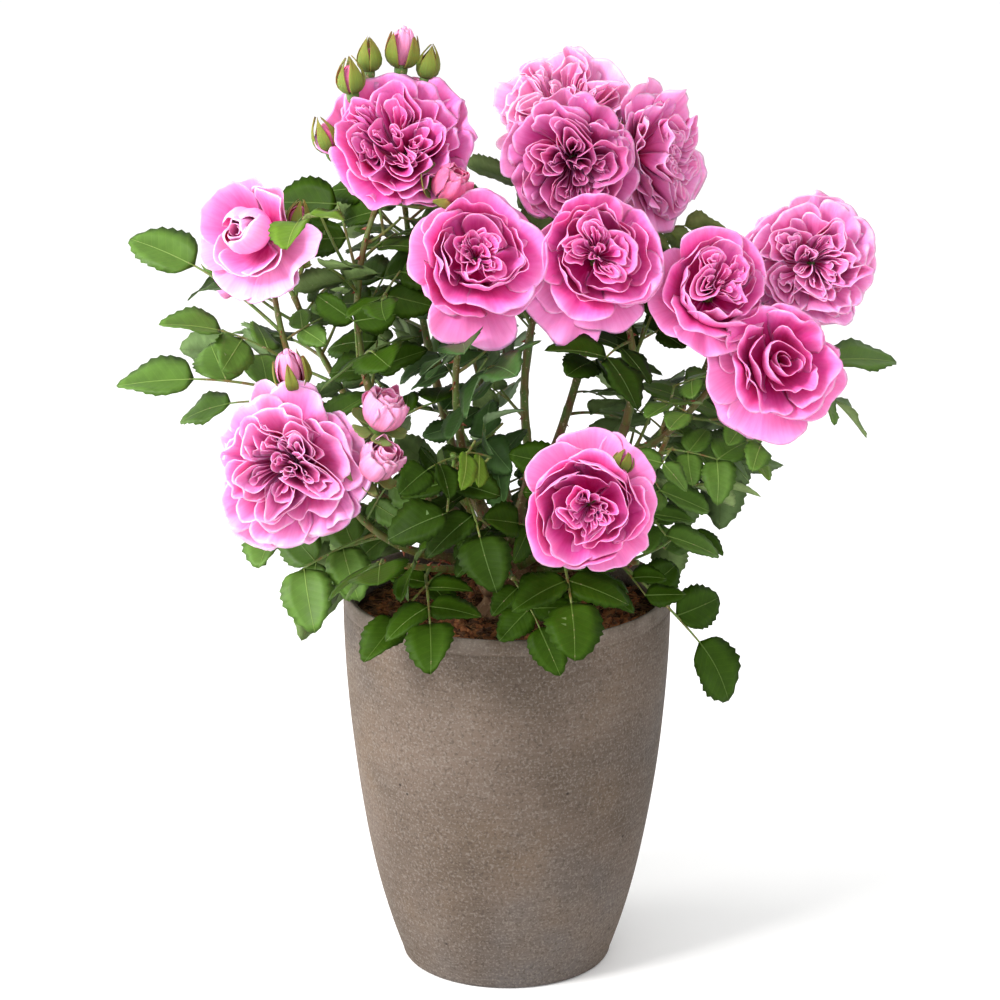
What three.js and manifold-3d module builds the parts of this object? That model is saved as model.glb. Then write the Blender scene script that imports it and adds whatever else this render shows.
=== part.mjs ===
// A patio rose in a tapered clay pot: the pot, its potting mix, a rootstock, canes, leafy shoots and blooms.
// Millimetres, +Z up. The origin is the middle of the pot's flat underside, and the plant's best side is -Y.
import * as THREE from 'three';
import { mergeVertices } from 'three/addons/utils/BufferGeometryUtils.js';
import Module from 'manifold-3d';

const wasm = await Module();
wasm.setup();

// ---- Driving dimensions ----------------------------------------------------------------------------------

const GAP = 0.3; // between two pieces that meet
const WELD = 1e-4; // points nearer than this are one

const POT = {
  foot: 66, // outer radius of the flat underside
  body: [[5, 70], [40, 81.2], [90, 92.4], [150, 101.4], [205, 106.4], [246, 107.8]], // [z, radius]
  lip: [[252, 107], [256.5, 103.5]], // above the line that is cut round the rim
  wall: 8,
  floor: 14,
  floorInset: 6, // how much narrower the floor is than the wall above it
  sides: 32,
};
const SOIL_TOP = 240;
// The ring of boxes that stand for the pot and mix: their half sizes, and how much they overlap sideways.
const KEPT_CLEAR = { boxes: 24, wall: 6, mix: 10, overlap: 1.05 };

// The rootstock is a short stem with a round knob, which every cane and low shoot springs from.
const ROOTSTOCK = { flare: 21, neck: 15, neckHeight: 8, knob: 22, knobHeight: 27, sides: 20, rows: 8 };

// Limbs taper from root to tip.
const CANE = { root: 4.3, tip: 3.0, sides: 6, steps: 4 };
const STEM = { root: 2.8, tip: 1.9, sides: 4, steps: 5 };
const STALK = { root: 1.5, tip: 1.5, sides: 3, steps: 2 };
const ARCH_HANDLE = 0.38; // how far a limb keeps its first and last heading, against its span
const FORK_HANDLE = 18;
// The stub at the end of a shoot, which the stalks of its blooms and buds fork from.
const STUB = { root: 2.1, tip: 3.1, sides: 4, steps: 1, length: 7, fork: 4.5, rise: 0.35 };

// A compound leaf at a scale of 1: a stalk with two pairs of leaflets and one more at its end.
const LEAF = {
  stalk: [20, 45, 66], // how far along it the lower pair, the upper pair and the end leaflet grow
  stalkRadius: [1.4, 1.1],
  stalkSteps: 2,
  pairs: [0.74, 0.88], // the size of the lower and the upper pair against the end leaflet
  splay: [74, 66], // degrees between the stalk and the leaflets of each pair
  length: 46,
  halfWidth: 0.33, // this and the next four are parts of the length
  widest: 0.4,
  shoulder: [0.78, 0.24],
  fold: 0.07,
  sag: 0.14,
  thick: 1.2,
  keel: 0.45, // where along it the point is that gives it its thickness
  boxDrop: 0.035, // how far the middle of its box hangs below its foot
  boxHeight: 0.105, // half the height of that box
  sunk: 1, // how far the end leaflet's foot reaches back into the stalk; the others start at its middle
};
const LEAF_REACH = LEAF.stalk[2] + LEAF.length;
const LEAF_SCALE = [0.9, 1.14];
const BARE = 0.06; // the part of a stem below its first leaf
const LEAF_TURN = 144; // degrees round the stem from one leaf to the next
const LEAF_STRAY = 40; // and up to this many more
const LEAF_TILT = [50, 80]; // degrees between the stem and a leaf's stalk
const LEAF_DROOP = [0.06, 0.34]; // how far a leaf stalk's end hangs, against its length
const LEAF_FACING = { out: 0.45, side: 1.25, middle: -20, turn: 45 }; // see leafFacing
const TRIES = 14; // places that a leaf may try
const TRY_SHRINK = 0.02; // how much smaller each try is
const TRY_TURN = 53; // degrees round the stem from one try to the next
const AIMED_SCALE = [0.72, 1.1];
const AIMED_DROOP = 0.16;
const AIMED_SPARE = 1.02; // the length of an aimed leaf against the straight line to its tip
const AIM_ROUNDS = 5;
const FEWEST = 3; // a leaf that keeps fewer leaflets than this is skipped
const CLEAR = 1.0; // between a leaf and anything that isn't its own mass
const OWN_CLEAR = 0.5; // between two leaves of one mass
const ANY = -100; // a leaf's stalk grows out of its own stem
const STEM_SAMPLES = 12; // points along a stem that a leaflet's distance is taken from
const SLACK = 16; // how much nearer than its own stem another one may be to a leaflet

// Profiles of a bloom from its base to its eye, as [radius, height] against the bloom's radius.
const BLOOM = {
  open: [[0, -0.5], [0.72, -0.32], [1, 0.02], [0.8, 0.2], [0.52, 0.34], [0, 0.28]],
  cup: [[0, -0.66], [0.8, -0.38], [1, -0.02], [0.86, 0.26], [0.5, 0.4], [0, 0.3]],
  crest: 0.42, // the highest of the heights
  seat: 0.06, // how far the stalk reaches into the base
  lobes: 5,
  lobeDepth: 0.05,
  sides: 12,
};
const BUD = {
  profile: [[0, -0.7], [0.46, -0.35], [0.4, 0.35], [0, 1]], // [radius, height] against the bud's width
  seat: 0.08,
  rise: 0.8, // how much a bud turns up from its stalk's heading
  sides: 5,
};

// ---- The shoots ------------------------------------------------------------------------------------------
// A shoot's leafy stem runs from its root past its bend to its tip. One with a seat stands on a bare cane,
// which springs from the knob at that azimuth and elevation, and one without springs from the knob itself.
// fork names a cane that the shoot leaves from the side of. Leaves start where bare says, as a part of the
// stem. aims are leaf tips on the crown's outline, each as [part of the stem, x, y, z]. Azimuth 0 is -Y and
// 90 is +X. A bloom is [x, y, z, diameter, azimuth, elevation, kind], and a bud is [x, y, z, width].

const SHOOTS = [
  { name: 'top_left', seat: [-62, 58], root: [-70, -26, 350], bend: [-112, -36, 440], tip: [-84, -18, 512],
    leaves: 7, seed: 11, aims: [[0.7, -130, 36, 578]],
    blooms: [[-67, -25, 560, 92, -8, 40, 'open']],
    buds: [[-98, -18, 598, 17], [-87, -3, 608, 15], [-66, 4, 611, 18], [-50, 4, 602, 15],
      [-114, -16, 560, 17], [-36, -50, 537, 21]] },
  { name: 'left', seat: [-86, 38], root: [-84, -28, 330], bend: [-140, -40, 390], tip: [-148, -30, 468],
    leaves: 6, seed: 23, aims: [[0.5, -252, -30, 402], [0.66, -221, -64, 455], [0.8, -247, 20, 492],
      [0.08, -200, -12, 268]],
    blooms: [[-163, -42, 507, 70, -30, 25, 'cup']], buds: [[-132, -28, 512, 14]] },
  { name: 'centre_left', seat: [-18, 62], root: [-18, -26, 325], bend: [-44, -44, 395], tip: [-24, -34, 460],
    leaves: 8, seed: 31, aims: [],
    blooms: [[-18, -75, 498, 75, 8, 22, 'cup']], buds: [] },
  { name: 'top_centre', seat: [78, 80], root: [14, 6, 350], bend: [2, 12, 430], tip: [44, 4, 506],
    leaves: 7, seed: 47, aims: [[0.6, -22, 20, 546]],
    blooms: [[41, -36, 549, 77, 2, 2, 'open'], [36, 20, 574, 84, -10, 58, 'open'],
      [98, 8, 545, 82, 60, 6, 'open']], buds: [] },
  { name: 'right_inner', seat: [58, 55], root: [76, -28, 376], bend: [88, -32, 420], tip: [70, -36, 462],
    leaves: 4, seed: 61, aims: [[0.85, 130, 0, 500]],
    blooms: [[58, -66, 496, 71, 5, 18, 'cup']], buds: [] },
  { name: 'right_outer', fork: 'right_inner', at: 0.86, bend: [116, -30, 376], tip: [148, -22, 426],
    leaves: 6, seed: 71, aims: [[0.72, 258, 18, 408]],
    blooms: [[131, -56, 475, 69, 18, 34, 'cup'], [194, -15, 479, 82, -4, 15, 'open'],
      [173, -64, 426, 74, 10, 14, 'cup']], buds: [] },
  { name: 'right_low', seat: [72, 30], root: [56, -22, 296], bend: [90, -36, 330], tip: [102, -44, 372],
    leaves: 6, seed: 83, aims: [[0.9, 178, -60, 340], [0.3, 156, -60, 274]], blooms: [], buds: [] },
  { name: 'lower_left', seat: [-58, 24], root: [-52, -34, 290], bend: [-96, -60, 310], tip: [-112, -44, 350],
    leaves: 5, seed: 5, aims: [[0.4, -184, -80, 251]],
    blooms: [[-138, -80, 359, 97, -12, 6, 'open']],
    buds: [[-136, -62, 419, 19], [-77, -78, 398, 23], [-80, -84, 367, 22]] },
  { name: 'lower_centre', bend: [28, -58, 300], tip: [44, -92, 334], bare: 0.35,
    leaves: 5, seed: 97, aims: [],
    blooms: [[49, -130, 351, 76, -6, 8, 'cup']], buds: [[72, -112, 376, 13]] },
  { name: 'middle', bend: [-26, -44, 320], tip: [-34, -84, 372], bare: 0.3,
    leaves: 8, seed: 101, aims: [], blooms: [], buds: [] },
  { name: 'low_left', bend: [-46, -64, 290], tip: [-82, -84, 300], bare: 0.3,
    leaves: 6, seed: 103, aims: [[0.4, -86, -118, 246]], blooms: [], buds: [] },
  { name: 'low_front', bend: [0, -56, 286], tip: [4, -84, 290], bare: 0.35,
    leaves: 5, seed: 107, aims: [[0.9, 31, -132, 246]], blooms: [], buds: [] },
  { name: 'low_right', bend: [58, -40, 284], tip: [84, -56, 292], bare: 0.35,
    leaves: 6, seed: 109, aims: [[0.8, 143, -60, 208]], blooms: [], buds: [] },
  { name: 'back_top', seat: [-130, 62], root: [-36, 28, 345], bend: [-58, 40, 430], tip: [-66, 44, 500],
    leaves: 8, seed: 127, aims: [],
    blooms: [[-70, 74, 538, 72, 188, 32, 'open']], buds: [] },
  { name: 'back_left', seat: [-118, 34], root: [-66, 36, 325], bend: [-112, 52, 370], tip: [-138, 68, 430],
    leaves: 8, seed: 131, aims: [[0.55, -222, 84, 396]],
    blooms: [[-166, 94, 466, 66, 212, 22, 'cup']], buds: [[-132, 100, 474, 15]] },
  { name: 'back_centre', seat: [178, 52], root: [-6, 44, 330], bend: [-22, 66, 380], tip: [-16, 74, 424],
    leaves: 8, seed: 137, aims: [],
    blooms: [[-20, 108, 450, 74, 184, 20, 'open']], buds: [] },
  { name: 'back_high', seat: [140, 64], root: [34, 32, 350], bend: [56, 48, 410], tip: [62, 62, 462],
    leaves: 8, seed: 139, aims: [],
    blooms: [[66, 96, 496, 68, 170, 28, 'cup']], buds: [] },
  { name: 'back_right', seat: [112, 36], root: [66, 34, 322], bend: [112, 46, 350], tip: [132, 58, 392],
    leaves: 8, seed: 149, aims: [[0.8, 214, 90, 350]],
    blooms: [[156, 88, 424, 66, 150, 18, 'cup']], buds: [] },
  { name: 'low_back_left', bend: [-58, 60, 292], tip: [-112, 70, 308], bare: 0.3,
    leaves: 8, seed: 151, aims: [[0.5, -160, 152, 248]],
    blooms: [[-144, 94, 322, 70, 215, 8, 'cup']], buds: [] },
  { name: 'low_back', bend: [0, 60, 292], tip: [-4, 106, 318], bare: 0.3,
    leaves: 8, seed: 157, aims: [[0.9, -14, 196, 300]], blooms: [], buds: [] },
  { name: 'low_back_right', bend: [58, 44, 290], tip: [104, 78, 300], bare: 0.3,
    leaves: 8, seed: 163, aims: [[0.9, 152, 146, 268]], blooms: [], buds: [] },
];

// ---- Small tools -----------------------------------------------------------------------------------------

const UP = new THREE.Vector3(0, 0, 1);
const ACROSS = new THREE.Vector3(1, 0.3, 0).normalize();
const radians = THREE.MathUtils.degToRad;
const between = ([low, high], part) => low + (high - low) * part;
const along = (point, direction, distance) => point.clone().addScaledVector(direction, distance);

// A unit vector: azimuth 0 is -Y and 90 is +X, and the elevation is measured up from the level.
function heading(azimuth, elevation) {
  const level = Math.cos(radians(elevation));
  return new THREE.Vector3(
    Math.sin(radians(azimuth)) * level, -Math.cos(radians(azimuth)) * level, Math.sin(radians(elevation)));
}

// Repeatable numbers from 0 to 1.
function dice(seed) {
  let state = seed;
  return () => {
    state = (Math.imul(state, 1664525) + 1013904223) >>> 0;
    return state / 4294967296;
  };
}

// Three square axes: the first along a direction, and the third as near as it can be to another.
function square(direction, facing) {
  const length = direction.clone().normalize();
  const normal = along(facing, length, -facing.dot(length)).normalize();
  return [length, normal.clone().cross(length), normal];
}

// A closed mesh of shared points, with the triangles that a pole leaves without area taken out.
function welded(geometry) {
  const bare = new THREE.BufferGeometry();
  bare.setAttribute('position', geometry.getAttribute('position'));
  bare.setIndex(geometry.getIndex());
  const merged = mergeVertices(bare, WELD);
  const index = Array.from(merged.getIndex().array);
  const kept = [];
  for (let i = 0; i < index.length; i += 3) {
    const [a, b, c] = index.slice(i, i + 3);
    if (a !== b && b !== c && c !== a) kept.push(a, b, c);
  }
  merged.setIndex(kept);
  return merged;
}

function solid(geometry) {
  const mesh = welded(geometry);
  return new wasm.Manifold(new wasm.Mesh({
    numProp: 3,
    vertProperties: new Float32Array(mesh.getAttribute('position').array),
    triVerts: new Uint32Array(mesh.getIndex().array),
  }));
}

function fused(geometries) {
  const mesh = geometries.map(solid).reduce((whole, piece) => whole.add(piece)).getMesh();
  const geometry = new THREE.BufferGeometry();
  geometry.setAttribute('position', new THREE.BufferAttribute(new Float32Array(mesh.vertProperties), 3));
  geometry.setIndex(Array.from(mesh.triVerts));
  geometry.computeVertexNormals();
  return geometry;
}

// Moves every point of a geometry by a rule.
function reshape(geometry, rule) {
  const position = geometry.getAttribute('position');
  const point = new THREE.Vector3();
  for (let i = 0; i < position.count; i += 1) {
    point.fromBufferAttribute(position, i);
    const moved = rule(point);
    position.setXYZ(i, moved.x, moved.y, moved.z);
  }
  return geometry;
}

function lathe(profile, sides) {
  return new THREE.LatheGeometry(profile.map(([radius, height]) => new THREE.Vector2(radius, height)), sides);
}

// A lathe's axis is +Y, and this stands it on end.
const upright = (geometry) => geometry.rotateX(Math.PI / 2);

// ---- Boxes: what a leaf has to keep clear of -------------------------------------------------------------

function box(centre, axes, half) {
  return { centre, axes, half, reach: Math.hypot(...half) };
}

// Two boxes are apart when some line shows daylight between their shadows on it.
function boxesMeet(a, b, clear) {
  const apart = b.centre.clone().sub(a.centre);
  if (apart.length() > a.reach + b.reach + clear) return false;
  const crossed = a.axes.flatMap((p) => b.axes.map((q) => p.clone().cross(q)));
  const shadow = ({ axes, half }, line) =>
    half.reduce((sum, size, i) => sum + size * Math.abs(axes[i].dot(line)), 0);
  return [...a.axes, ...b.axes, ...crossed].every((line) => {
    const length = line.length();
    return length < 1e-6 || Math.abs(apart.dot(line)) <= shadow(a, line) + shadow(b, line) + clear * length;
  });
}

// ---- Limbs -----------------------------------------------------------------------------------------------

// A direction that a limb never runs along: across for a steep one, and up for a level one.
function besides(curve) {
  const span = curve.getPoint(1).sub(curve.getPoint(0)).normalize();
  return Math.abs(span.z) > 0.7 ? ACROSS : UP;
}

// A tapering limb: a cylinder bent along a curve.
function limb(curve, { root, tip, sides, steps }) {
  const facing = besides(curve);
  return reshape(new THREE.CylinderGeometry(tip, root, 1, sides, steps), (point) => {
    const part = point.y + 0.5;
    const [, side, front] = square(curve.getTangent(part), facing);
    return along(along(curve.getPoint(part), side, point.x), front, -point.z);
  });
}

// A limb is straight from ring to ring, and this is a point on its own axis.
function axisPoint(curve, part, steps) {
  const ring = Math.min(Math.floor(part * steps), steps - 1);
  return curve.getPoint(ring / steps).lerp(curve.getPoint((ring + 1) / steps), part * steps - ring);
}

// The boxes along a limb.
function limbBoxes(curve, { root, tip, steps }) {
  const facing = besides(curve);
  const points = curve.getPoints(steps);
  return points.slice(1).map((end, i) => {
    const start = points[i];
    const radius = between([root, tip], i / steps);
    const middle = start.clone().add(end).multiplyScalar(0.5);
    const span = end.clone().sub(start);
    return box(middle, square(span, facing), [span.length() / 2 + radius / 2, radius, radius]);
  });
}

// A curve that leaves one point and reaches another in given directions.
function arch(start, leaving, end, arriving) {
  const handle = start.distanceTo(end) * ARCH_HANDLE;
  const before = along(end, arriving, -handle);
  return new THREE.CubicBezierCurve3(start, along(start, leaving, handle), before, end);
}

const KNOB = new THREE.Vector3(0, 0, SOIL_TOP + GAP + ROOTSTOCK.knobHeight);

function knobSeat(direction) {
  return along(KNOB, direction, ROOTSTOCK.knob + GAP);
}

function caneCurve({ seat, root, bend }) {
  const leaving = heading(...seat);
  const arriving = vec(bend).sub(vec(root)).normalize();
  return arch(knobSeat(leaving), leaving, vec(root), arriving);
}

function vec(point) {
  return new THREE.Vector3(...point);
}

// The leafy stem of a shoot, which starts a gap away from what carries it.
function stemCurve(shoot, canes) {
  const bend = vec(shoot.bend);
  const tip = vec(shoot.tip);
  if (shoot.seat) {
    const leaving = bend.clone().sub(vec(shoot.root)).normalize();
    return new THREE.QuadraticBezierCurve3(along(vec(shoot.root), leaving, GAP), bend, tip);
  }
  if (shoot.fork) {
    const parent = canes[shoot.fork];
    const start = axisPoint(parent, shoot.at, CANE.steps);
    const [, , out] = square(parent.getTangent(shoot.at), bend.clone().sub(start));
    const root = along(start, out, between([CANE.root, CANE.tip], shoot.at) + GAP);
    return new THREE.CubicBezierCurve3(root, along(root, out, FORK_HANDLE), bend, tip);
  }
  return new THREE.QuadraticBezierCurve3(knobSeat(bend.clone().sub(KNOB).normalize()), bend, tip);
}

// ---- Leaves ----------------------------------------------------------------------------------------------

// One leaflet: six points round its outline, and one below its middle that gives it its thickness.
function leaflet(foot, axes, length) {
  const { halfWidth, widest, shoulder: [high, width], fold, sag, thick, keel } = LEAF;
  const outline = [[0, 0], [widest, halfWidth], [high, width], [1, 0], [high, -width], [widest, -halfWidth]];
  const place = (u, v, lift) => along(along(along(foot, axes[0], u * length), axes[1], v * length), axes[2],
    (fold * Math.abs(v) / halfWidth - sag * u * u) * length + lift);
  const points = outline.map(([u, v]) => place(u, v, 0));
  points.push(place(keel, 0, -thick));
  const above = [0, 5, 1, 1, 5, 4, 1, 4, 2, 2, 4, 3];
  const below = outline.flatMap((_, i) => [i, (i + 1) % 6, 6]);
  const geometry = new THREE.BufferGeometry().setFromPoints(points);
  geometry.setIndex([...above, ...below]);
  return geometry;
}

function leafletBox(foot, axes, length) {
  const middle = along(along(foot, axes[0], length * 0.5), axes[2], -length * LEAF.boxDrop);
  const height = length * LEAF.boxHeight + LEAF.thick / 2;
  return box(middle, axes, [length * 0.5, length * LEAF.halfWidth, height]);
}

// Leaves turn their faces up and outwards, and to the front or the back, whichever side of the crown's
// middle they grow on.
function leafFacing({ x, y }) {
  const outward = new THREE.Vector3(x, y, 0).normalize();
  const side = THREE.MathUtils.clamp((y - LEAF_FACING.middle) / LEAF_FACING.turn, -1, 1);
  return along(UP, outward, LEAF_FACING.out).add(new THREE.Vector3(0, LEAF_FACING.side * side, 0));
}

// A compound leaf's stalk curve, its leaflets' places and its boxes, from its root on a stem.
function planLeaf(root, direction, scale, droop, first) {
  const stations = LEAF.stalk.map((distance) => (distance - LEAF.stalk[0]) * scale + first);
  const whole = stations[2];
  const end = along(along(root, direction, whole), UP, -droop * whole);
  const curve = new THREE.QuadraticBezierCurve3(root, along(root, direction, whole / 2), end);
  const facing = leafFacing(root);
  const leaflets = [];
  const grow = (station, turn, size) => {
    const part = station / whole;
    const axes = square(curve.getTangent(part), facing);
    const tilt = radians(turn);
    const pointing = along(axes[0].clone().multiplyScalar(Math.cos(tilt)), axes[1], Math.sin(tilt));
    const own = [pointing, axes[2].clone().cross(pointing), axes[2]];
    const length = LEAF.length * scale * size;
    const foot = along(axisPoint(curve, part, LEAF.stalkSteps), pointing, turn ? 0 : -LEAF.sunk);
    leaflets.push({ foot, axes: own, length, box: leafletBox(foot, own, length) });
  };
  grow(whole, 0, 1);
  for (const pair of [1, 0]) {
    for (const side of [1, -1]) grow(stations[pair], side * LEAF.splay[pair], LEAF.pairs[pair]);
  }
  const shape = { root: LEAF.stalkRadius[0], tip: LEAF.stalkRadius[1], sides: 3, steps: LEAF.stalkSteps };
  return { curve, shape, leaflets, boxes: limbBoxes(curve, shape) };
}

function leafTip({ leaflets: [end] }) {
  return along(along(end.foot, end.axes[0], end.length), end.axes[2], -LEAF.sag * end.length);
}

// A leaf from a point on a stem whose tip lies at a given point: its first heading is corrected by what it
// misses by, and a distance that the largest leaf can't span goes into the stalk below the first pair.
function aimLeaf(root, target, droop) {
  const span = root.distanceTo(target);
  const scale = THREE.MathUtils.clamp(span / LEAF_REACH, ...AIMED_SCALE);
  const first = span * AIMED_SPARE - (LEAF_REACH - LEAF.stalk[0]) * scale;
  const way = target.clone().sub(root);
  let plan = null;
  for (let i = 0; i < AIM_ROUNDS; i += 1) {
    plan = planLeaf(root, way.clone().normalize(), scale, droop, first);
    way.add(target).sub(leafTip(plan));
  }
  return plan;
}

// ---- The crown -------------------------------------------------------------------------------------------

// What every leaf keeps clear of: each box has the name of its node, and the room that leaves of the same
// node leave it.
const taken = [];

function take(owner, boxes, clear = OWN_CLEAR) {
  taken.push(...boxes.map((item) => ({ ...item, owner, clear })));
}

// A point is in a shoot's own space while no other shoot's stem is nearer by more than the slack.
function isHome(point, name, stems) {
  const distance = ({ samples }) => Math.min(...samples.map((sample) => sample.distanceTo(point)));
  const farthest = distance(stems[name]) - SLACK;
  return Object.values(stems).every((stem) => stem === stems[name] || distance(stem) > farthest);
}

// Keeps the leaflets of a planned leaf that have room, or says that the leaf has none.
function fitLeaf(plan, name, stems, fewest) {
  const room = (other) => (other.owner === name ? other.clear : CLEAR);
  const hits = (item) => taken.some((other) => boxesMeet(item, other, room(other)));
  if (plan.boxes.some(hits)) return null;
  const leaflets = plan.leaflets.filter((item) => isHome(item.box.centre, name, stems) && !hits(item.box));
  if (leaflets.length < fewest) return null;
  take(name, [...plan.boxes, ...leaflets.map((item) => item.box)]);
  return { ...plan, leaflets };
}

function aimedLeaves({ name, aims }, stems) {
  const { curve } = stems[name];
  return aims.flatMap(([part, ...target]) => {
    const plan = aimLeaf(axisPoint(curve, part, STEM.steps), vec(target), AIMED_DROOP);
    return fitLeaf(plan, name, stems, 1) ?? [];
  });
}

function seededLeaves({ name, leaves, bare = BARE, seed }, stems) {
  const { curve } = stems[name];
  const roll = dice(seed);
  const grown = [];
  for (let i = 0; i < leaves; i += 1) {
    const part = between([bare, 1], (i + 0.5) / leaves);
    const root = axisPoint(curve, part, STEM.steps);
    const [rise, side, front] = square(curve.getTangent(part), besides(curve));
    for (let attempt = 0; attempt < TRIES; attempt += 1) {
      const turn = radians(i * LEAF_TURN + attempt * TRY_TURN + LEAF_STRAY * roll());
      const tilt = radians(between(LEAF_TILT, roll()));
      const scale = between(LEAF_SCALE, roll()) * (1 - TRY_SHRINK * attempt);
      const droop = between(LEAF_DROOP, roll());
      const round = along(side.clone().multiplyScalar(Math.cos(turn)), front, Math.sin(turn));
      const direction = along(rise.clone().multiplyScalar(Math.cos(tilt)), round, Math.sin(tilt));
      const plan = planLeaf(root, direction, scale, droop, LEAF.stalk[0] * scale);
      const leaf = fitLeaf(plan, name, stems, FEWEST);
      if (leaf) {
        grown.push(leaf);
        break;
      }
    }
  }
  return grown;
}

function leafGeometries({ curve, shape, leaflets }) {
  return [limb(curve, shape), ...leaflets.map(({ foot, axes, length }) => leaflet(foot, axes, length))];
}

// ---- Blooms and buds -------------------------------------------------------------------------------------

// Stands a shape, whose axis is +Y, at a point with its axis along a direction.
function aimed(geometry, centre, direction) {
  const turn = new THREE.Quaternion().setFromUnitVectors(new THREE.Vector3(0, 1, 0), direction);
  return geometry.applyQuaternion(turn).translate(...centre);
}

function bloomGeometry(radius, kind, phase) {
  const shape = lathe(BLOOM[kind].map(([r, h]) => [r * radius, h * radius]), BLOOM.sides);
  return reshape(shape, (point) => {
    const angle = Math.atan2(point.z, point.x);
    const swell = 1 + BLOOM.lobeDepth * (Math.sin(BLOOM.lobes * angle + phase) - 1);
    return new THREE.Vector3(point.x * swell, point.y, point.z * swell);
  });
}

// The stalks, blooms and buds at the end of a shoot, with their boxes.
function planSpray({ seed, blooms, buds, tip }, stem) {
  const rise = stem.getTangent(1);
  const start = along(vec(tip), rise, GAP);
  const fork = along(start, rise, STUB.fork);
  const stub = new THREE.LineCurve3(start, along(start, rise, STUB.length));
  const parts = { pieces: [limb(stub, STUB)], boxes: limbBoxes(stub, STUB) };
  const addStalk = (foot, facing) => {
    const leaving = foot.clone().sub(fork).normalize().addScaledVector(rise, STUB.rise).normalize();
    const curve = arch(fork, leaving, foot, facing);
    parts.pieces.push(limb(curve, STALK));
    parts.boxes.push(...limbBoxes(curve, STALK));
  };
  blooms.forEach(([x, y, z, diameter, azimuth, elevation, kind], i) => {
    const radius = diameter / 2;
    const facing = heading(azimuth, elevation);
    const centre = new THREE.Vector3(x, y, z);
    const base = BLOOM[kind][0][1];
    const height = (BLOOM.crest - base) / 2;
    addStalk(along(centre, facing, (base + BLOOM.seat) * radius), facing);
    parts.pieces.push(aimed(bloomGeometry(radius, kind, seed + i), centre, facing));
    parts.boxes.push(box(along(centre, facing, (base + height) * radius), square(facing, UP),
      [height * radius, radius, radius]));
  });
  buds.forEach(([x, y, z, width]) => {
    const centre = new THREE.Vector3(x, y, z);
    const facing = centre.clone().sub(fork).normalize().addScaledVector(UP, BUD.rise).normalize();
    const [low, high] = [BUD.profile[0][1], BUD.profile.at(-1)[1]];
    addStalk(along(centre, facing, (low + BUD.seat) * width), facing);
    const shape = lathe(BUD.profile.map(([r, h]) => [r * width, h * width]), BUD.sides);
    parts.pieces.push(aimed(shape, centre, facing));
    parts.boxes.push(box(along(centre, facing, ((low + high) / 2) * width), square(facing, ACROSS),
      [((high - low) / 2) * width, width / 2, width / 2]));
  });
  return parts;
}

// ---- Pot, potting mix and rootstock ----------------------------------------------------------------------

const innerWall = POT.body.slice(1).map(([height, radius]) => [radius - POT.wall, height]);

function potGeometry() {
  const outside = [[0, 0], [POT.foot, 0], ...POT.body.map(flip), ...POT.lip.map(flip)];
  const inside = [...innerWall.toReversed(), [innerWall[0][0] - POT.floorInset, POT.floor], [0, POT.floor]];
  return upright(lathe([...outside, ...inside], POT.sides));
}

function flip([height, radius]) {
  return [radius, height];
}

function mixGeometry() {
  const last = innerWall.at(-1);
  const before = innerWall.at(-2);
  const rim = before[0] + (last[0] - before[0]) * ((SOIL_TOP - before[1]) / (last[1] - before[1]));
  const wall = [...innerWall.slice(0, -1), [rim, SOIL_TOP]].map(([radius, height]) => [radius - GAP, height]);
  const bottom = POT.floor + GAP;
  const foot = [innerWall[0][0] - POT.floorInset - GAP, bottom];
  return upright(lathe([[0, bottom], foot, ...wall, [0, SOIL_TOP]], POT.sides));
}

function rootstockGeometry() {
  const { flare, neck, neckHeight, knob, knobHeight, sides, rows } = ROOTSTOCK;
  const foot = SOIL_TOP + GAP;
  const lowest = -Math.acos(neck / knob);
  const profile = [[0, foot], [flare, foot], [neck, foot + neckHeight]];
  for (let i = 0; i <= rows; i += 1) {
    const angle = lowest + (Math.PI / 2 - lowest) * (i / rows);
    profile.push([i === rows ? 0 : knob * Math.cos(angle), foot + knobHeight + knob * Math.sin(angle)]);
  }
  return upright(lathe(profile, sides));
}

// The upper half of the pot's wall, as a ring of boxes that leaves keep clear of, with one more box behind
// each for the top of the mix.
function potBoxes() {
  const boxes = [];
  const [top, brim] = POT.lip.at(-1);
  const low = top / 2;
  const width = brim * Math.tan(Math.PI / KEPT_CLEAR.boxes) * KEPT_CLEAR.overlap;
  for (let i = 0; i < KEPT_CLEAR.boxes; i += 1) {
    const out = heading((i * 360) / KEPT_CLEAR.boxes, 0);
    const axes = square(out, UP);
    const wall = along(new THREE.Vector3(0, 0, (top + low) / 2), out, brim);
    const mix = along(new THREE.Vector3(0, 0, SOIL_TOP - KEPT_CLEAR.mix), out, brim / 2);
    boxes.push(box(wall, axes, [KEPT_CLEAR.wall, width, (top - low) / 2]));
    boxes.push(box(mix, axes, [brim / 2, width, KEPT_CLEAR.mix]));
  }
  return boxes;
}

// ---- Assembly --------------------------------------------------------------------------------------------

const material = (color, roughness) => new THREE.MeshStandardMaterial({ color, roughness, metalness: 0 });
const CLAY = material('#8a7a6c', 0.85);
const MIX = material('#4a3526', 0.95);
const BARK = material('#6f5a3c', 0.8);
const CANE_GREEN = material('#5c6b32', 0.6);
const LEAF_GREEN = material('#2f6b34', 0.55);
const PETAL = material('#d65fa8', 0.6);

const rose = new THREE.Group();

function add(name, geometry, finish) {
  geometry.computeVertexNormals();
  const mesh = new THREE.Mesh(geometry, finish);
  mesh.name = name;
  rose.add(mesh);
}

add('pot', welded(potGeometry()), CLAY);
add('potting_mix', welded(mixGeometry()), MIX);
add('rootstock', welded(rootstockGeometry()), BARK);
take('pot', potBoxes());
take('rootstock', [box(KNOB, square(UP, ACROSS), [ROOTSTOCK.knobHeight, ROOTSTOCK.knob, ROOTSTOCK.knob])]);

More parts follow.
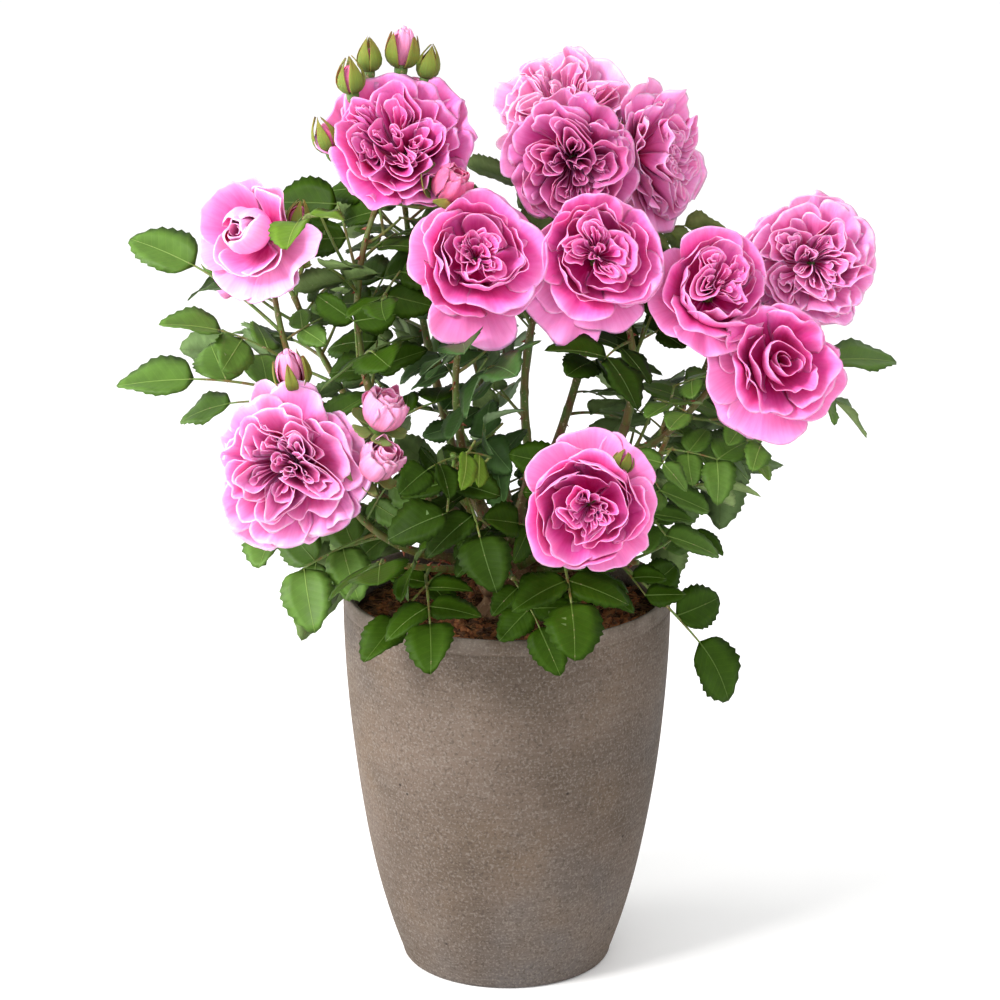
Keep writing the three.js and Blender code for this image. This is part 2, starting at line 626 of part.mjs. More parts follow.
const canes = {};
for (const shoot of SHOOTS.filter(({ seat }) => seat)) {
  const curve = caneCurve(shoot);
  canes[shoot.name] = curve;
  take(`${shoot.name}_cane`, limbBoxes(curve, CANE));
  add(`${shoot.name}_cane`, welded(limb(curve, CANE)), CANE_GREEN);
}

const stems = {};
for (const shoot of SHOOTS) {
  const curve = stemCurve(shoot, canes);
  stems[shoot.name] = { curve, samples: curve.getPoints(STEM_SAMPLES), boxes: limbBoxes(curve, STEM) };
}

for (const shoot of SHOOTS.filter(({ blooms }) => blooms.length)) {
  const spray = planSpray(shoot, stems[shoot.name].curve);
  take(`${shoot.name}_blooms`, spray.boxes);
  add(`${shoot.name}_blooms`, fused(spray.pieces), PETAL);
}

const masses = {};
for (const [name, { boxes }] of Object.entries(stems)) take(name, boxes, ANY);
for (const shoot of SHOOTS) masses[shoot.name] = aimedLeaves(shoot, stems);
for (const shoot of SHOOTS) masses[shoot.name].push(...seededLeaves(shoot, stems));
for (const shoot of SHOOTS) {
  const stem = limb(stems[shoot.name].curve, STEM);
  add(`${shoot.name}_leaves`, fused([stem, ...masses[shoot.name].flatMap(leafGeometries)]), LEAF_GREEN);
}

export default rose;
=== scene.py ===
# %% [markdown]
# # A patio rose in a clay pot
# This lesson dresses a plain CAD model of a potted rose: a tapered clay pot, bark potting mix, a rootstock
# with twelve canes, twenty-one leafy shoots, eighteen blooms and thirteen buds. The CAD model says where
# each piece is and how far it reaches. Here every piece gets its real surface: toothed leaflets with ribs,
# ruffled petals, thorny canes, bark chips and speckled clay.
#
# The first cell loads the CAD model as a fixed frame and keeps its box, to compare the dressed plant with.

# %% Load the frame
import math

import bpy
import numpy as np
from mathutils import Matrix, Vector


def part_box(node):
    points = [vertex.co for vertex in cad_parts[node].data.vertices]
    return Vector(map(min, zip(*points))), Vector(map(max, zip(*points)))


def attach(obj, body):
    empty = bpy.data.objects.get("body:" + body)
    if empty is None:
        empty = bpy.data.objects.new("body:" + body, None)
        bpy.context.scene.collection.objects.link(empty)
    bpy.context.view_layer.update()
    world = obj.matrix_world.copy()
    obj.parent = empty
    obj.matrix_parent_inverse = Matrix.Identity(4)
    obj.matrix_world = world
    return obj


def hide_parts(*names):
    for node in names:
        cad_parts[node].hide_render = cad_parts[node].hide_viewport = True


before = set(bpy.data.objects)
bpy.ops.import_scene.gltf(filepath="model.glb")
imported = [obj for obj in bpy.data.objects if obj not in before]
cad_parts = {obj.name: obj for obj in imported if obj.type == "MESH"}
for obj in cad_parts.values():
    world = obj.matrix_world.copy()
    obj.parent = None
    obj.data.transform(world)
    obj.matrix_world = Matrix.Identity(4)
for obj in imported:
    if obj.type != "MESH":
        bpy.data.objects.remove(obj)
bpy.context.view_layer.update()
MM = 0.001  # shapes are worked out in millimetres, and Blender's unit is the metre
BODY = "root"  # a plant has no joints, so every piece rides on the one body

# %% [markdown]
# ## Camera, floor and light
# A studio product picture has a pale floor that runs out of the frame, one large soft lamp from the upper
# left and a bright room that fills the shadows. The room could be built from white walls, but an even world
# colour gives the same soft fill with less noise. The camera stands in front of the plant, above its
# middle, and looks down a little through a long lens, which keeps the pot's sides from leaning.

# %% Camera, floor and light
CAMERA = {"place": (-4.5, -2309.0, 1018.5), "down": 16.91, "lens": 133.06, "sensor": 36.0, "far": 60.0}
LAMPS = {  # place, aim, size, power and colour
    "window": ((-1.7, -1.3, 1.9), (0, 0, 0.3), 0.9, 85.0, (1.0, 0.99, 0.975)),
    "front": ((0.6, -2.4, 1.5), (0, 0, 0.35), 1.6, 14.0, (1.0, 1.0, 1.0)),
    "low_left": ((-1.4, 0.0, 0.45), (0, 0, 0.15), 0.6, 14.0, (1.0, 0.99, 0.975)),
}
ROOM_LIGHT = 1.02
FLOOR_SIZE = 24.0
SEEN_TO_PAINT = 0.7


def srgb(text, share=SEEN_TO_PAINT):
    """A hex colour as linear red, green and blue: below 0.04 each share is divided by 12.92, and above it
    0.055 is added, the sum is divided by 1.055 and raised to 2.4. Colours are named as they look in the
    studio, whose light is brighter than white paper needs, so the paint itself is darker by a share."""
    shares = np.array([int(text[i:i + 2], 16) / 255 for i in (1, 3, 5)])
    linear = np.where(shares <= 0.04045, shares / 12.92, ((shares + 0.055) / 1.055) ** 2.4)
    return (*(linear * share).tolist(), 1.0)


def add_camera():
    data = bpy.data.cameras.new("camera")
    data.lens, data.sensor_width, data.clip_end = CAMERA["lens"], CAMERA["sensor"], CAMERA["far"]
    camera = bpy.data.objects.new("camera", data)
    camera.location = [x * MM for x in CAMERA["place"]]
    camera.rotation_euler = (math.radians(90 - CAMERA["down"]), 0, 0)
    bpy.context.scene.collection.objects.link(camera)
    bpy.context.scene.camera = camera


def add_lamp(name, place, aim, size, power, colour):
    """A square lamp turned so that its beam, which leaves along its own -Z, runs to its aim."""
    data = bpy.data.lights.new(name, "AREA")
    data.size, data.energy, data.color = size, power, colour
    lamp = bpy.data.objects.new(name, data)
    lamp.location = place
    x, y, z = np.array(aim) - np.array(place)
    lamp.rotation_euler = (math.atan2(math.hypot(x, y), -z), 0, math.atan2(y, x) - math.pi / 2)
    bpy.context.scene.collection.objects.link(lamp)


def add_room():
    room = bpy.data.worlds.new("room")
    room.use_nodes = True
    background = room.node_tree.nodes["Background"].inputs
    background["Color"].default_value = (1.0, 1.0, 1.0, 1.0)
    background["Strength"].default_value = ROOM_LIGHT
    bpy.context.scene.world = room
    bpy.context.scene.view_settings.view_transform = "Standard"


add_camera()
for name, lamp in LAMPS.items():
    add_lamp(name, *lamp)
add_room()
print("lamps:", ", ".join(LAMPS))

# %% [markdown]
# ## Meshes from arrays
# All the surfaces below are worked out as numpy arrays: a grid of points, and an index that says which
# points make each face. One helper puts such arrays into a mesh. foreach_set copies a whole array at once,
# which for a plant with hundreds of thousands of faces is far quicker than adding faces one by one.

# %% Meshes from arrays
UP = np.array([0.0, 0.0, 1.0])


def unit(vectors):
    """Vectors divided by their own lengths."""
    return vectors / np.maximum(np.linalg.norm(vectors, axis=-1, keepdims=True), 1e-12)


def add_mesh(name, points, faces, finishes, wears=None, uv=None):
    """A mesh object from points in mm. faces is a list of index arrays, each of 3 or 4 columns; wears gives,
    for each array, the number of the finish that its faces wear; uv has one row for each point."""
    mesh = bpy.data.meshes.new(name)
    corners = np.concatenate([part.ravel() for part in faces])
    counts = np.concatenate([np.full(len(part), part.shape[1]) for part in faces])
    mesh.vertices.add(len(points))
    mesh.vertices.foreach_set("co", (points * MM).astype(np.float32).ravel())
    mesh.loops.add(len(corners))
    mesh.loops.foreach_set("vertex_index", corners.astype(np.int32))
    mesh.polygons.add(len(counts))
    mesh.polygons.foreach_set("loop_start", (np.cumsum(counts) - counts).astype(np.int32))
    if wears is not None:
        worn = [np.full(len(part), number) if np.ndim(number) == 0 else number
                for part, number in zip(faces, wears)]
        mesh.polygons.foreach_set("material_index", np.concatenate(worn).astype(np.int32))
    mesh.polygons.foreach_set("use_smooth", np.ones(len(counts), bool))
    if uv is not None:
        layer = mesh.uv_layers.new(name="surface")
        layer.uv.foreach_set("vector", uv[corners].astype(np.float32).ravel())
    for finish in finishes:
        mesh.materials.append(finish)
    mesh.update(calc_edges=True)
    mesh.validate()
    piece = bpy.data.objects.new(name, mesh)
    bpy.context.scene.collection.objects.link(piece)
    return piece


def dress(piece, nodes=()):
    """Says what a piece rides on and which CAD nodes it stands for."""
    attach(piece, BODY)
    if nodes:
        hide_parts(*nodes)
    mesh = piece.data
    print(f"{piece.name}: {len(mesh.vertices)} points, {len(mesh.polygons)} faces")


def many(template, copies, points_each):
    """The index array of a shape repeated for each copy, whose points follow each other."""
    return (template[None] + (np.arange(copies) * points_each)[:, None, None]).reshape(-1, template.shape[1])


def grid_faces(rows, columns, closed=False):
    """The quads of a grid of rows x columns points, counter-clockwise seen with the columns to the right and
    the rows upwards. closed joins the last column to the first."""
    across = columns if closed else columns - 1
    row, column = np.meshgrid(np.arange(rows - 1), np.arange(across), indexing="ij")
    right = (column + 1) % columns
    corners = [row * columns + column, row * columns + right, (row + 1) * columns + right,
               (row + 1) * columns + column]
    return np.stack(corners, -1).reshape(-1, 4)


def capped(rings, sides):
    """The faces of rings closed at both ends: the quads between them, and a fan of triangles round a point at
    each end. The foot's point and the head's follow the last ring."""
    side, last = np.arange(sides), (rings - 1) * sides
    after, foot = (side + 1) % sides, np.full(sides, rings * sides)
    fans = [np.stack([foot, after, side], -1), np.stack([foot + 1, last + side, last + after], -1)]
    return [grid_faces(rings, sides, closed=True), np.concatenate(fans)]


def turned(profile, sides, relief):
    """A closed surface turned round the Z axis: each [radius, height] of the profile, which starts and ends
    on the axis, becomes a ring of points at that radius. relief(angle, radius, height) moves them."""
    radius, height = (np.repeat(part[:, None], sides, 1) for part in np.asarray(profile, float)[1:-1].T)
    angle = np.linspace(0, 2 * np.pi, sides, endpoint=False)[None]
    radius, height = relief(angle, radius, height)
    rings = np.stack([radius * np.cos(angle), radius * np.sin(angle), height], -1).reshape(-1, 3)
    ends = [[0, 0, profile[0][1]], [0, 0, profile[-1][1]]]
    return np.concatenate([rings, ends]), capped(len(profile) - 2, sides)


# %% [markdown]
# ## Finishes
# A finish is a node tree. Effects that several finishes share are node groups, made once with named
# sockets: cloudy colour, and a fine grain for bumps. Colours that follow a shape, such as a petal's pale
# rim, which is partly a painted highlight, or a leaf's veins, read the piece's own UV map, so they stay in
# place on every petal and leaf.

# %% Shared effects
def new_group(name, inputs, outputs):
    """An empty node group with its sockets: each input (name, kind, value) and each output (name, kind)."""
    group = bpy.data.node_groups.new(name, "ShaderNodeTree")
    for label, kind, value in inputs:
        socket = group.interface.new_socket(label, in_out="INPUT", socket_type=f"NodeSocket{kind}")
        if value is not None:
            socket.default_value = value
    for label, kind in outputs:
        group.interface.new_socket(label, in_out="OUTPUT", socket_type=f"NodeSocket{kind}")
    return group, group.nodes.new("NodeGroupInput"), group.nodes.new("NodeGroupOutput")


def feed(tree, value, socket):
    """Gives an input what it takes: a link from a socket, or a plain value."""
    if isinstance(value, bpy.types.NodeSocket):
        tree.links.new(value, socket)
    elif value is not None:
        socket.default_value = value


def node(tree, kind, inputs=None, **settings):
    """A node with its settings, and a socket or a value for each of its inputs by label or number."""
    made = tree.nodes.new(f"ShaderNode{kind}")
    for key, value in settings.items():
        setattr(made, key, value)
    for key, value in (inputs or {}).items():
        feed(tree, value, made.inputs[key])
    return made


def calculate(tree, operation, *terms):
    """One step of arithmetic on sockets or numbers, and its result as a socket."""
    return node(tree, "Math", dict(enumerate(terms)), operation=operation).outputs[0]


def mapped(tree, value, least, most, kind="SMOOTHSTEP"):
    """A value as a share of the way from least to most, held between 0 and 1."""
    inputs = {"Value": value, "From Min": least, "From Max": most}
    return node(tree, "MapRange", inputs, interpolation_type=kind).outputs[0]


def blend_colours(tree, share, first, second, kind="MIX"):
    """Two colours mixed by a share, as a socket. Each of the three is a socket or a value."""
    return node(tree, "Mix", {0: share, 6: first, 7: second}, data_type="RGBA", blend_type=kind).outputs[2]


def cloud_group():
    """Noise as a mask: 0 below the middle less half the softness, and 1 above it by as much."""
    group, given, result = new_group(
        "cloud", [("Vector", "Vector", None), ("Scale", "Float", 60.0), ("Detail", "Float", 3.0),
                  ("Middle", "Float", 0.5), ("Softness", "Float", 0.2)], [("Mask", "Float")])
    noise = node(group, "TexNoise", {label: given.outputs[label] for label in ("Vector", "Scale", "Detail")})
    half = calculate(group, "MULTIPLY", given.outputs["Softness"], 0.5)
    least, most = (calculate(group, step, given.outputs["Middle"], half) for step in ("SUBTRACT", "ADD"))
    feed(group, mapped(group, noise.outputs[0], least, most), result.inputs["Mask"])
    return group


def grain_group():
    """Two sizes of noise added for a bump's height: the second is five times finer and half as strong."""
    group, given, result = new_group(
        "grain", [("Vector", "Vector", None), ("Scale", "Float", 300.0)], [("Height", "Float")])
    sizes = (given.outputs["Scale"], calculate(group, "MULTIPLY", given.outputs["Scale"], 5.0))
    coarse, fine = (node(group, "TexNoise", {"Vector": given.outputs["Vector"], "Scale": size, "Detail": 2.0})
                    for size in sizes)
    both = calculate(group, "MULTIPLY_ADD", fine.outputs[0], 0.5, coarse.outputs[0])
    feed(group, both, result.inputs["Height"])
    return group


CLOUD, GRAIN = cloud_group(), grain_group()


class Finish:
    """A material under construction: its tree, its shader and the coordinates that its patterns read."""

    def __init__(self, name, roughness, **sockets):
        self.material = bpy.data.materials.new(name)
        self.material.use_nodes = True
        self.tree = self.material.node_tree
        self.shader = self.tree.nodes["Principled BSDF"]
        for label, value in {"Roughness": roughness, **sockets}.items():
            self.shader.inputs[label.replace("_", " ")].default_value = value

    def stretched(self, places, scale):
        return node(self.tree, "Mapping", {"Vector": places, "Scale": scale}).outputs[0]

    def object_places(self, scale=(1, 1, 1)):
        """Object coordinates, stretched by a Mapping node."""
        return self.stretched(node(self.tree, "TexCoord").outputs["Object"], scale)

    def surface_places(self, scale=(1, 1, 1)):
        """The piece's own UV map, stretched by a Mapping node."""
        return self.stretched(node(self.tree, "UVMap", uv_map="surface").outputs[0], scale)

    def cloud(self, places, scale, middle=0.5, softness=0.2, detail=3.0):
        """A mask of cloudy patches."""
        inputs = {"Vector": places, "Scale": scale, "Detail": detail, "Middle": middle, "Softness": softness}
        return node(self.tree, "Group", inputs, node_tree=CLOUD).outputs[0]

    def grain(self, places, scale):
        """A height of fine grain."""
        return node(self.tree, "Group", {"Vector": places, "Scale": scale}, node_tree=GRAIN).outputs[0]

    def between(self, mask, first, second):
        """A colour that runs from one to another, both hex, as a mask goes from 0 to 1."""
        return blend_colours(self.tree, mask, srgb(first), srgb(second))

    def over(self, colour, mask, share, tint):
        """A colour with a hex tint laid over it by a share of a mask."""
        return blend_colours(self.tree, calculate(self.tree, "MULTIPLY", mask, share), colour, srgb(tint))

    def colour(self, colour):
        feed(self.tree, colour, self.shader.inputs["Base Color"])

    def roughness(self, mask, low, high):
        """Roughness that runs between two values as a mask goes from 0 to 1."""
        span = node(self.tree, "MapRange", {"Value": mask, "To Min": low, "To Max": high})
        feed(self.tree, span.outputs[0], self.shader.inputs["Roughness"])

    def bump(self, height, distance, strength):
        """A bump whose distance is in mm, on top of the ones before it."""
        normal = self.shader.inputs["Normal"]
        below = normal.links[0].from_socket if normal.is_linked else None
        inputs = {"Strength": strength, "Distance": distance * MM, "Height": height, "Normal": below}
        feed(self.tree, node(self.tree, "Bump", inputs).outputs[0], normal)


def add_floor():
    finish = Finish("pale_floor", 0.6)
    dust = finish.cloud(finish.object_places(), 6.0, softness=0.5)
    finish.colour(blend_colours(finish.tree, dust, srgb("#fafafa", 1.0), srgb("#fcfcfc", 1.0)))
    corners = FLOOR_SIZE / MM / 2 * np.array([[-1, -1, 0], [1, -1, 0], [1, 1, 0], [-1, 1, 0]])
    add_mesh("floor", corners, [np.array([[0, 1, 2, 3]])], [finish.material])
    print("floor:", FLOOR_SIZE, "m square")


add_floor()

# %% [markdown]
# ## The clay pot
# The pot is cast fibre clay: a tall taper with a soft belly, a thin rim that leans in, and one fine line
# cut round it just below the lip. It could be a subdivided cylinder, but a turned profile is closer to how
# a pot is shaped, and lets the cut line and the rounded lip be real geometry. The clay is a matte
# grey-brown with fine speckle, short strokes of the smoothing tool, tiny pits, and bluish clouds where the
# lime has bloomed.

# %% The clay pot
POT = {
    "foot": 66.0,
    "body": [[5, 70], [40, 81.2], [90, 92.4], [150, 101.4], [205, 106.4], [246, 107.8]],  # [height, radius]
    "lip": [[252, 107], [256.5, 103.5]],
    "wall": 8.0,
    "floor": 14.0,
    "floor_inset": 6.0,
}
BRIM, BRIM_RADIUS = POT["body"][-1]
LIP, LIP_RADIUS = POT["lip"][-1]
SOIL_TOP = 240.0
GAP = 0.3
LINE = {"height": 246.0, "half_width": 0.9, "depth": 0.375}
OUT_OF_TRUE = (0.22, 0.14, 0.07)


def body_radius(height):
    """The pot's outer radius: a curve of the fourth degree through the body's stations."""
    stations = np.array(POT["body"], float)
    middle = stations[:, 0].mean()
    return np.polyval(np.polyfit(stations[:, 0] - middle, stations[:, 1], 4), np.asarray(height) - middle)


def quarter(start, end, steps):
    """Points along a quarter ellipse between two [radius, height] points; it leaves the first one level."""
    angle = np.linspace(0, np.pi / 2, steps)
    return np.stack([start[0] + (end[0] - start[0]) * np.sin(angle),
                     end[1] + (start[1] - end[1]) * np.cos(angle)], 1)


def pot_profile():
    """[radius, height] from the middle of the underside, up the outside, over the lip and down inside."""
    foot_height, foot_radius = POT["body"][0]
    heights = np.concatenate([np.linspace(foot_height, BRIM - 4, 60)[1:],
                              np.linspace(BRIM - 3, BRIM + 2.5, 23)])
    groove = LINE["depth"] * np.exp(-((heights - LINE["height"]) / LINE["half_width"]) ** 2)
    outside = np.stack([body_radius(np.minimum(heights, BRIM)) - groove, heights], 1)
    brow, ridge = outside[-1], 0.5 * (LIP_RADIUS + BRIM_RADIUS)
    turn = np.linspace(0, np.pi / 2, 8)[1:]
    crown = np.stack([brow[0] + (ridge - brow[0]) * (1 - np.cos(turn)),
                      brow[1] + (LIP - brow[1]) * np.sin(turn)], 1)
    inside = np.linspace(BRIM, POT["body"][1][0], 40)
    inner = np.stack([body_radius(inside) - POT["wall"], inside], 1)
    turn_in = quarter([ridge, LIP], [inner[0, 0], BRIM], 6)[1:-1]
    flat = [[inner[-1, 0] - POT["floor_inset"], POT["floor"]], [0, POT["floor"]]]
    foot = quarter([POT["foot"], 0], [foot_radius, foot_height], 6)
    return np.concatenate([[[0, 0], [POT["foot"] * 0.6, 0]], foot, outside, crown, turn_in, inner, flat])


def pot_relief(angle, radius, height):
    """Hands and mould leave the wall out of true by a few tenths of a millimetre: slow waves round and up."""
    waves = (np.sin(2 * angle + 0.4 + height / 60), np.sin(3 * angle - height / 38),
             np.sin(5 * angle + height / 17))
    wave = sum(size * part for size, part in zip(OUT_OF_TRUE, waves))
    return radius + wave * np.clip(height / 12, 0, 1) * (radius > 1), height + 0 * angle


def clay_finish():
    """Fired fibre clay: brown and grey clouds, a grain of pale and dark specks, short strokes of the
    smoothing tool, a painted highlight along the lip, and a few open pits painted near black as their
    shade. Each layer lies over the ones before it."""
    finish = Finish("fibre_clay", 0.82, Specular_IOR_Level=0.22)
    tree, plain = finish.tree, finish.object_places()
    colour = finish.between(finish.cloud(plain, 11.0, softness=0.5), "#574a3f", "#706156")
    strokes = finish.cloud(finish.object_places((55, 55, 520)), 1.0, middle=0.56, softness=0.3, detail=4.0)
    height = node(tree, "SeparateXYZ", {0: plain}).outputs[2]
    # painted highlight: a pale band near the top of the lip, broken up by a cloud
    by_lip = mapped(tree, height, (BRIM - 2) * MM, LIP * MM, "LINEAR")
    lip_highlight = calculate(tree, "MULTIPLY", by_lip, finish.cloud(plain, 60.0, softness=0.5))
    pits = node(tree, "TexVoronoi", {"Vector": plain, "Scale": 46.0, "Randomness": 1.0})
    pit = mapped(tree, pits.outputs["Distance"], 0.06, 0.03)
    layers = ((finish.cloud(plain, 6.5, middle=0.6, softness=0.3, detail=6.0), 0.65, "#5a5d62"),
              (finish.cloud(plain, 16.0, middle=0.58, softness=0.3, detail=6.0), 0.4, "#786450"),
              (strokes, 0.2, "#80756b"),
              (finish.cloud(plain, 620.0, middle=0.58, softness=0.12, detail=2.0), 0.5, "#8b8178"),
              (finish.cloud(plain, 480.0, middle=0.6, softness=0.1, detail=2.0), 0.45, "#41362e"),
              (lip_highlight, 0.7, "#9a8e84"),
              # painted shade: the pits are coloured near black
              (pit, 0.8, "#2c231d"))
    for mask, share, tint in layers:
        colour = finish.over(colour, mask, share, tint)
    finish.colour(colour)
    finish.roughness(strokes, 0.86, 0.74)
    finish.bump(finish.grain(plain, 380.0), 0.45, 0.6)
    finish.bump(calculate(tree, "MULTIPLY", pit, -1.0), 0.5, 0.8)
    finish.bump(strokes, 0.12, 0.5)
    return finish.material


points, faces = turned(pot_profile(), 180, pot_relief)
dress(add_mesh("clay_pot", points, faces, [clay_finish()]), ["pot"])

# %% [markdown]
# ## Potting mix
# The mix is bark, coir and peat: a lumpy dark surface a little below the rim, with reddish bark chips lying
# over each other and pale hair-thin fibres between them. A bump map would do for the peat, but chips catch
# the light on their edges, so the chips and fibres are real pieces, scattered with a fixed seed.

# %% Potting mix
BED = (24.0, 93.0)  # chips and fibres lie between these radii
CHIP = {"length": (2.2, 6.5), "slim": (0.35, 0.8), "corner": (0.7, 1.15), "thick": (0.6, 1.6), "lean": 0.4,
        "rise": 0.4}


def mix_profile():
    """[radius, height] from the axis below, up the pot's inner wall and back to the axis on top."""
    heights = np.linspace(POT["body"][1][0], SOIL_TOP, 30)
    wall = np.stack([body_radius(heights) - POT["wall"] - 0.6, heights], 1)
    bottom = POT["floor"] + GAP
    foot = [[0, bottom], [wall[0, 0] - POT["floor_inset"], bottom]]
    across = np.linspace(wall[-1, 0], 0, 46)[1:]
    top = np.stack([across, np.full(len(across), SOIL_TOP)], 1)
    return np.concatenate([foot, wall, top])


def mix_height(x, y):
    """How far the top of the mix stands above or below its level: sums of sines of several sizes."""
    broad = 1.6 * np.sin(x / 21 + 0.7) * np.cos(y / 26) + 1.1 * np.sin((x + y) / 13)
    return broad + 0.9 * np.sin(x / 5.1 + 2 * np.sin(y / 7)) + 0.7 * np.cos(y / 4.3 + 2 * np.sin(x / 6))


def mix_relief(angle, radius, height):
    """Lumps on the top, which fade out towards the wall."""
    top = (height > SOIL_TOP - 1) & (radius < 97)
    lump = mix_height(radius * np.cos(angle), radius * np.sin(angle))
    return radius + 0 * angle, height + lump * top - 0.8 * top


def mix_finish():
    finish = Finish("bark_mix", 0.95, Specular_IOR_Level=0.2)
    places = finish.object_places()
    colour = finish.between(finish.cloud(places, 140.0, detail=6.0, softness=0.4), "#2c1d14", "#6b4630")
    flecks = finish.cloud(places, 420.0, middle=0.64, softness=0.1)
    finish.colour(blend_colours(finish.tree, flecks, colour, srgb("#a5794f")))
    finish.bump(finish.grain(places, 260.0), 1.2, 0.9)
    return finish.material


def chip_finish(name, dark, light):
    finish = Finish(name, 0.85, Specular_IOR_Level=0.25)
    places = finish.object_places((1, 1, 2.5))
    finish.colour(finish.between(finish.cloud(places, 300.0, detail=5.0, softness=0.6), dark, light))
    finish.bump(finish.grain(places, 420.0), 0.5, 0.8)
    return finish.material


def scattered(count, seed):
    """Seeded places on the top of the mix, evenly spread between two radii."""
    draw = np.random.default_rng(seed)
    radius = np.sqrt(draw.uniform(BED[0] ** 2, BED[1] ** 2, count))
    angle = draw.uniform(0, 2 * np.pi, count)
    x, y = radius * np.cos(angle), radius * np.sin(angle)
    return np.stack([x, y, SOIL_TOP + mix_height(x, y)], 1), draw


def add_chips(name, count, seed, finish):
    """Bark chips: six-sided slabs whose corners are drawn in and out, thin at the rim."""
    centres, draw = scattered(count, seed)
    corner = np.arange(6) * np.pi / 3 + draw.uniform(-0.4, 0.4, (count, 6))
    length = draw.uniform(*CHIP["length"], (count, 1))
    width = length * draw.uniform(*CHIP["slim"], (count, 1))
    reach = draw.uniform(*CHIP["corner"], (count, 6))
    thick = draw.uniform(*CHIP["thick"], (count, 1))
    flat = np.stack([np.cos(corner) * length * reach, np.sin(corner) * width * reach, 0 * corner], -1)
    low, high = flat * [0.9, 0.9, 1], flat.copy()
    low[..., 2], high[..., 2] = -thick, thick * draw.uniform(0.3, 1.0, (count, 6))
    poles = np.zeros((count, 2, 3))
    poles[:, 0, 2], poles[:, 1, 2] = -thick[:, 0], thick[:, 0]
    spin = draw.uniform(0, 2 * np.pi, count)
    lean, roll = (draw.normal(0, CHIP["lean"], count) for _ in range(2))
    shape = turn_all(np.concatenate([low, high, poles], 1), spin, lean, roll)
    shape = shape + centres[:, None] + UP * CHIP["rise"]
    faces = [many(part, count, 14) for part in capped(2, 6)]
    piece = add_mesh(name, shape.reshape(-1, 3), faces, [finish])
    piece.data.polygons.foreach_set("use_smooth", np.zeros(len(piece.data.polygons), bool))
    dress(piece)


def turn_all(shapes, spin, lean, roll):
    """Each shape turned about X by its roll, about Y by its lean and about Z by its spin."""
    c, s = np.cos(roll), np.sin(roll)
    o, i = np.zeros_like(c), np.ones_like(c)
    about_x = np.stack([i, o, o, o, c, -s, o, s, c], -1).reshape(-1, 3, 3)
    c, s = np.cos(lean), np.sin(lean)
    about_y = np.stack([c, o, s, o, i, o, -s, o, c], -1).reshape(-1, 3, 3)
    c, s = np.cos(spin), np.sin(spin)
    about_z = np.stack([c, -s, o, s, c, o, o, o, i], -1).reshape(-1, 3, 3)
    return np.einsum("nij,nkj->nki", about_z @ about_y @ about_x, shapes)


points, faces = turned(mix_profile(), 150, mix_relief)
dress(add_mesh("potting_mix_top", points, faces, [mix_finish()]), ["potting_mix"])
add_chips("red_bark_chips", 620, 3, chip_finish("red_bark", "#7a4228", "#c98555"))
add_chips("brown_bark_chips", 520, 4, chip_finish("brown_bark", "#4a3024", "#96694a"))

# %% [markdown]
# ## Tubes along paths
# Canes, stems, leaf stalks and fibres are all tapering tubes. A tube is a ring of points carried along a
# path: at each station the ring lies square to the path. A curve object with a bevel would do the same, but
# arrays let hundreds of tubes be worked out together, and let the bark's ridges move single points.

# %% Tubes along paths
ACROSS = unit(np.array([1.0, 0.3, 0.0]))


def frames_along(paths):
    """For each station of each path, two directions square to it. The reference direction is up for a level
    path and across for a steep one, so that the rings never flip."""
    ahead = unit(np.gradient(paths, axis=1))
    span = unit(paths[:, -1] - paths[:, 0])
    facing = np.where(np.abs(span[:, 2:]) > 0.7, ACROSS, UP)[:, None]
    front = unit(facing - ahead * np.sum(facing * ahead, -1, keepdims=True))
    return np.cross(front, ahead), front


def tubes(paths, radii, sides, relief=None):
    """Closed tubes: paths (tubes, stations, 3) and radii (tubes, stations). relief(angle, stations, tubes)
    gives each point's radius as a share of the ring's. Returns points, faces and uv."""
    count, stations = radii.shape
    side, front = frames_along(paths)
    angle = np.arange(sides) * 2 * np.pi / sides
    spread = np.ones((count, stations, sides)) if relief is None else relief(angle, stations, count)
    reach = (radii[..., None] * spread)[..., None]
    ring = np.cos(angle)[:, None] * side[:, :, None] + np.sin(angle)[:, None] * front[:, :, None]
    body = (paths[:, :, None] + reach * ring).reshape(count, -1, 3)
    points = np.concatenate([body, paths[:, :1], paths[:, -1:]], 1)
    faces = [many(part, count, points.shape[1]) for part in capped(stations, sides)]
    v, u = np.meshgrid(np.linspace(0, 1, stations), np.arange(sides) / sides, indexing="ij")
    uv = np.concatenate([np.stack([u, v], -1).reshape(-1, 2), [[0.5, 0.0], [0.5, 1.0]]])
    return points.reshape(-1, 3), faces, np.tile(uv, (count, 1))


def add_tubes(name, paths, radii, sides, finish, nodes=(), relief=None):
    """Tubes as one piece, dressed."""
    points, faces, uv = tubes(paths, radii, sides, relief)
    dress(add_mesh(name, points, faces, [finish], uv=uv), nodes)


FIBRE = {"reach": (4, 11), "bend": 2.5, "rise": 1.6, "tilt": 0.8, "radius": 0.16, "stations": 7}


def add_fibres(count, seed):
    """Coir fibres: short bent hairs that lie on the mix."""
    centres, draw = scattered(count, seed)
    way = draw.uniform(0, 2 * np.pi, count)
    reach = draw.uniform(*FIBRE["reach"], count)[:, None, None]
    t = np.linspace(-1, 1, FIBRE["stations"])[None, :, None]
    line = np.stack([np.cos(way), np.sin(way), 0 * way], -1)[:, None]
    beside = np.stack([-np.sin(way), np.cos(way), 0 * way], -1)[:, None]
    bend = draw.normal(0, FIBRE["bend"], count)[:, None, None]
    paths = centres[:, None] + line * t * reach + beside * bend * t ** 2
    paths = paths + UP * (FIBRE["rise"] + draw.normal(0, FIBRE["tilt"], count)[:, None, None] * t)
    points, faces, _ = tubes(paths, np.full((count, FIBRE["stations"]), FIBRE["radius"]), 4)
    finish = chip_finish("coir", "#8a5f38", "#c79b66")
    dress(add_mesh("coir_fibres", points, faces, [finish]))


add_fibres(420, 5)

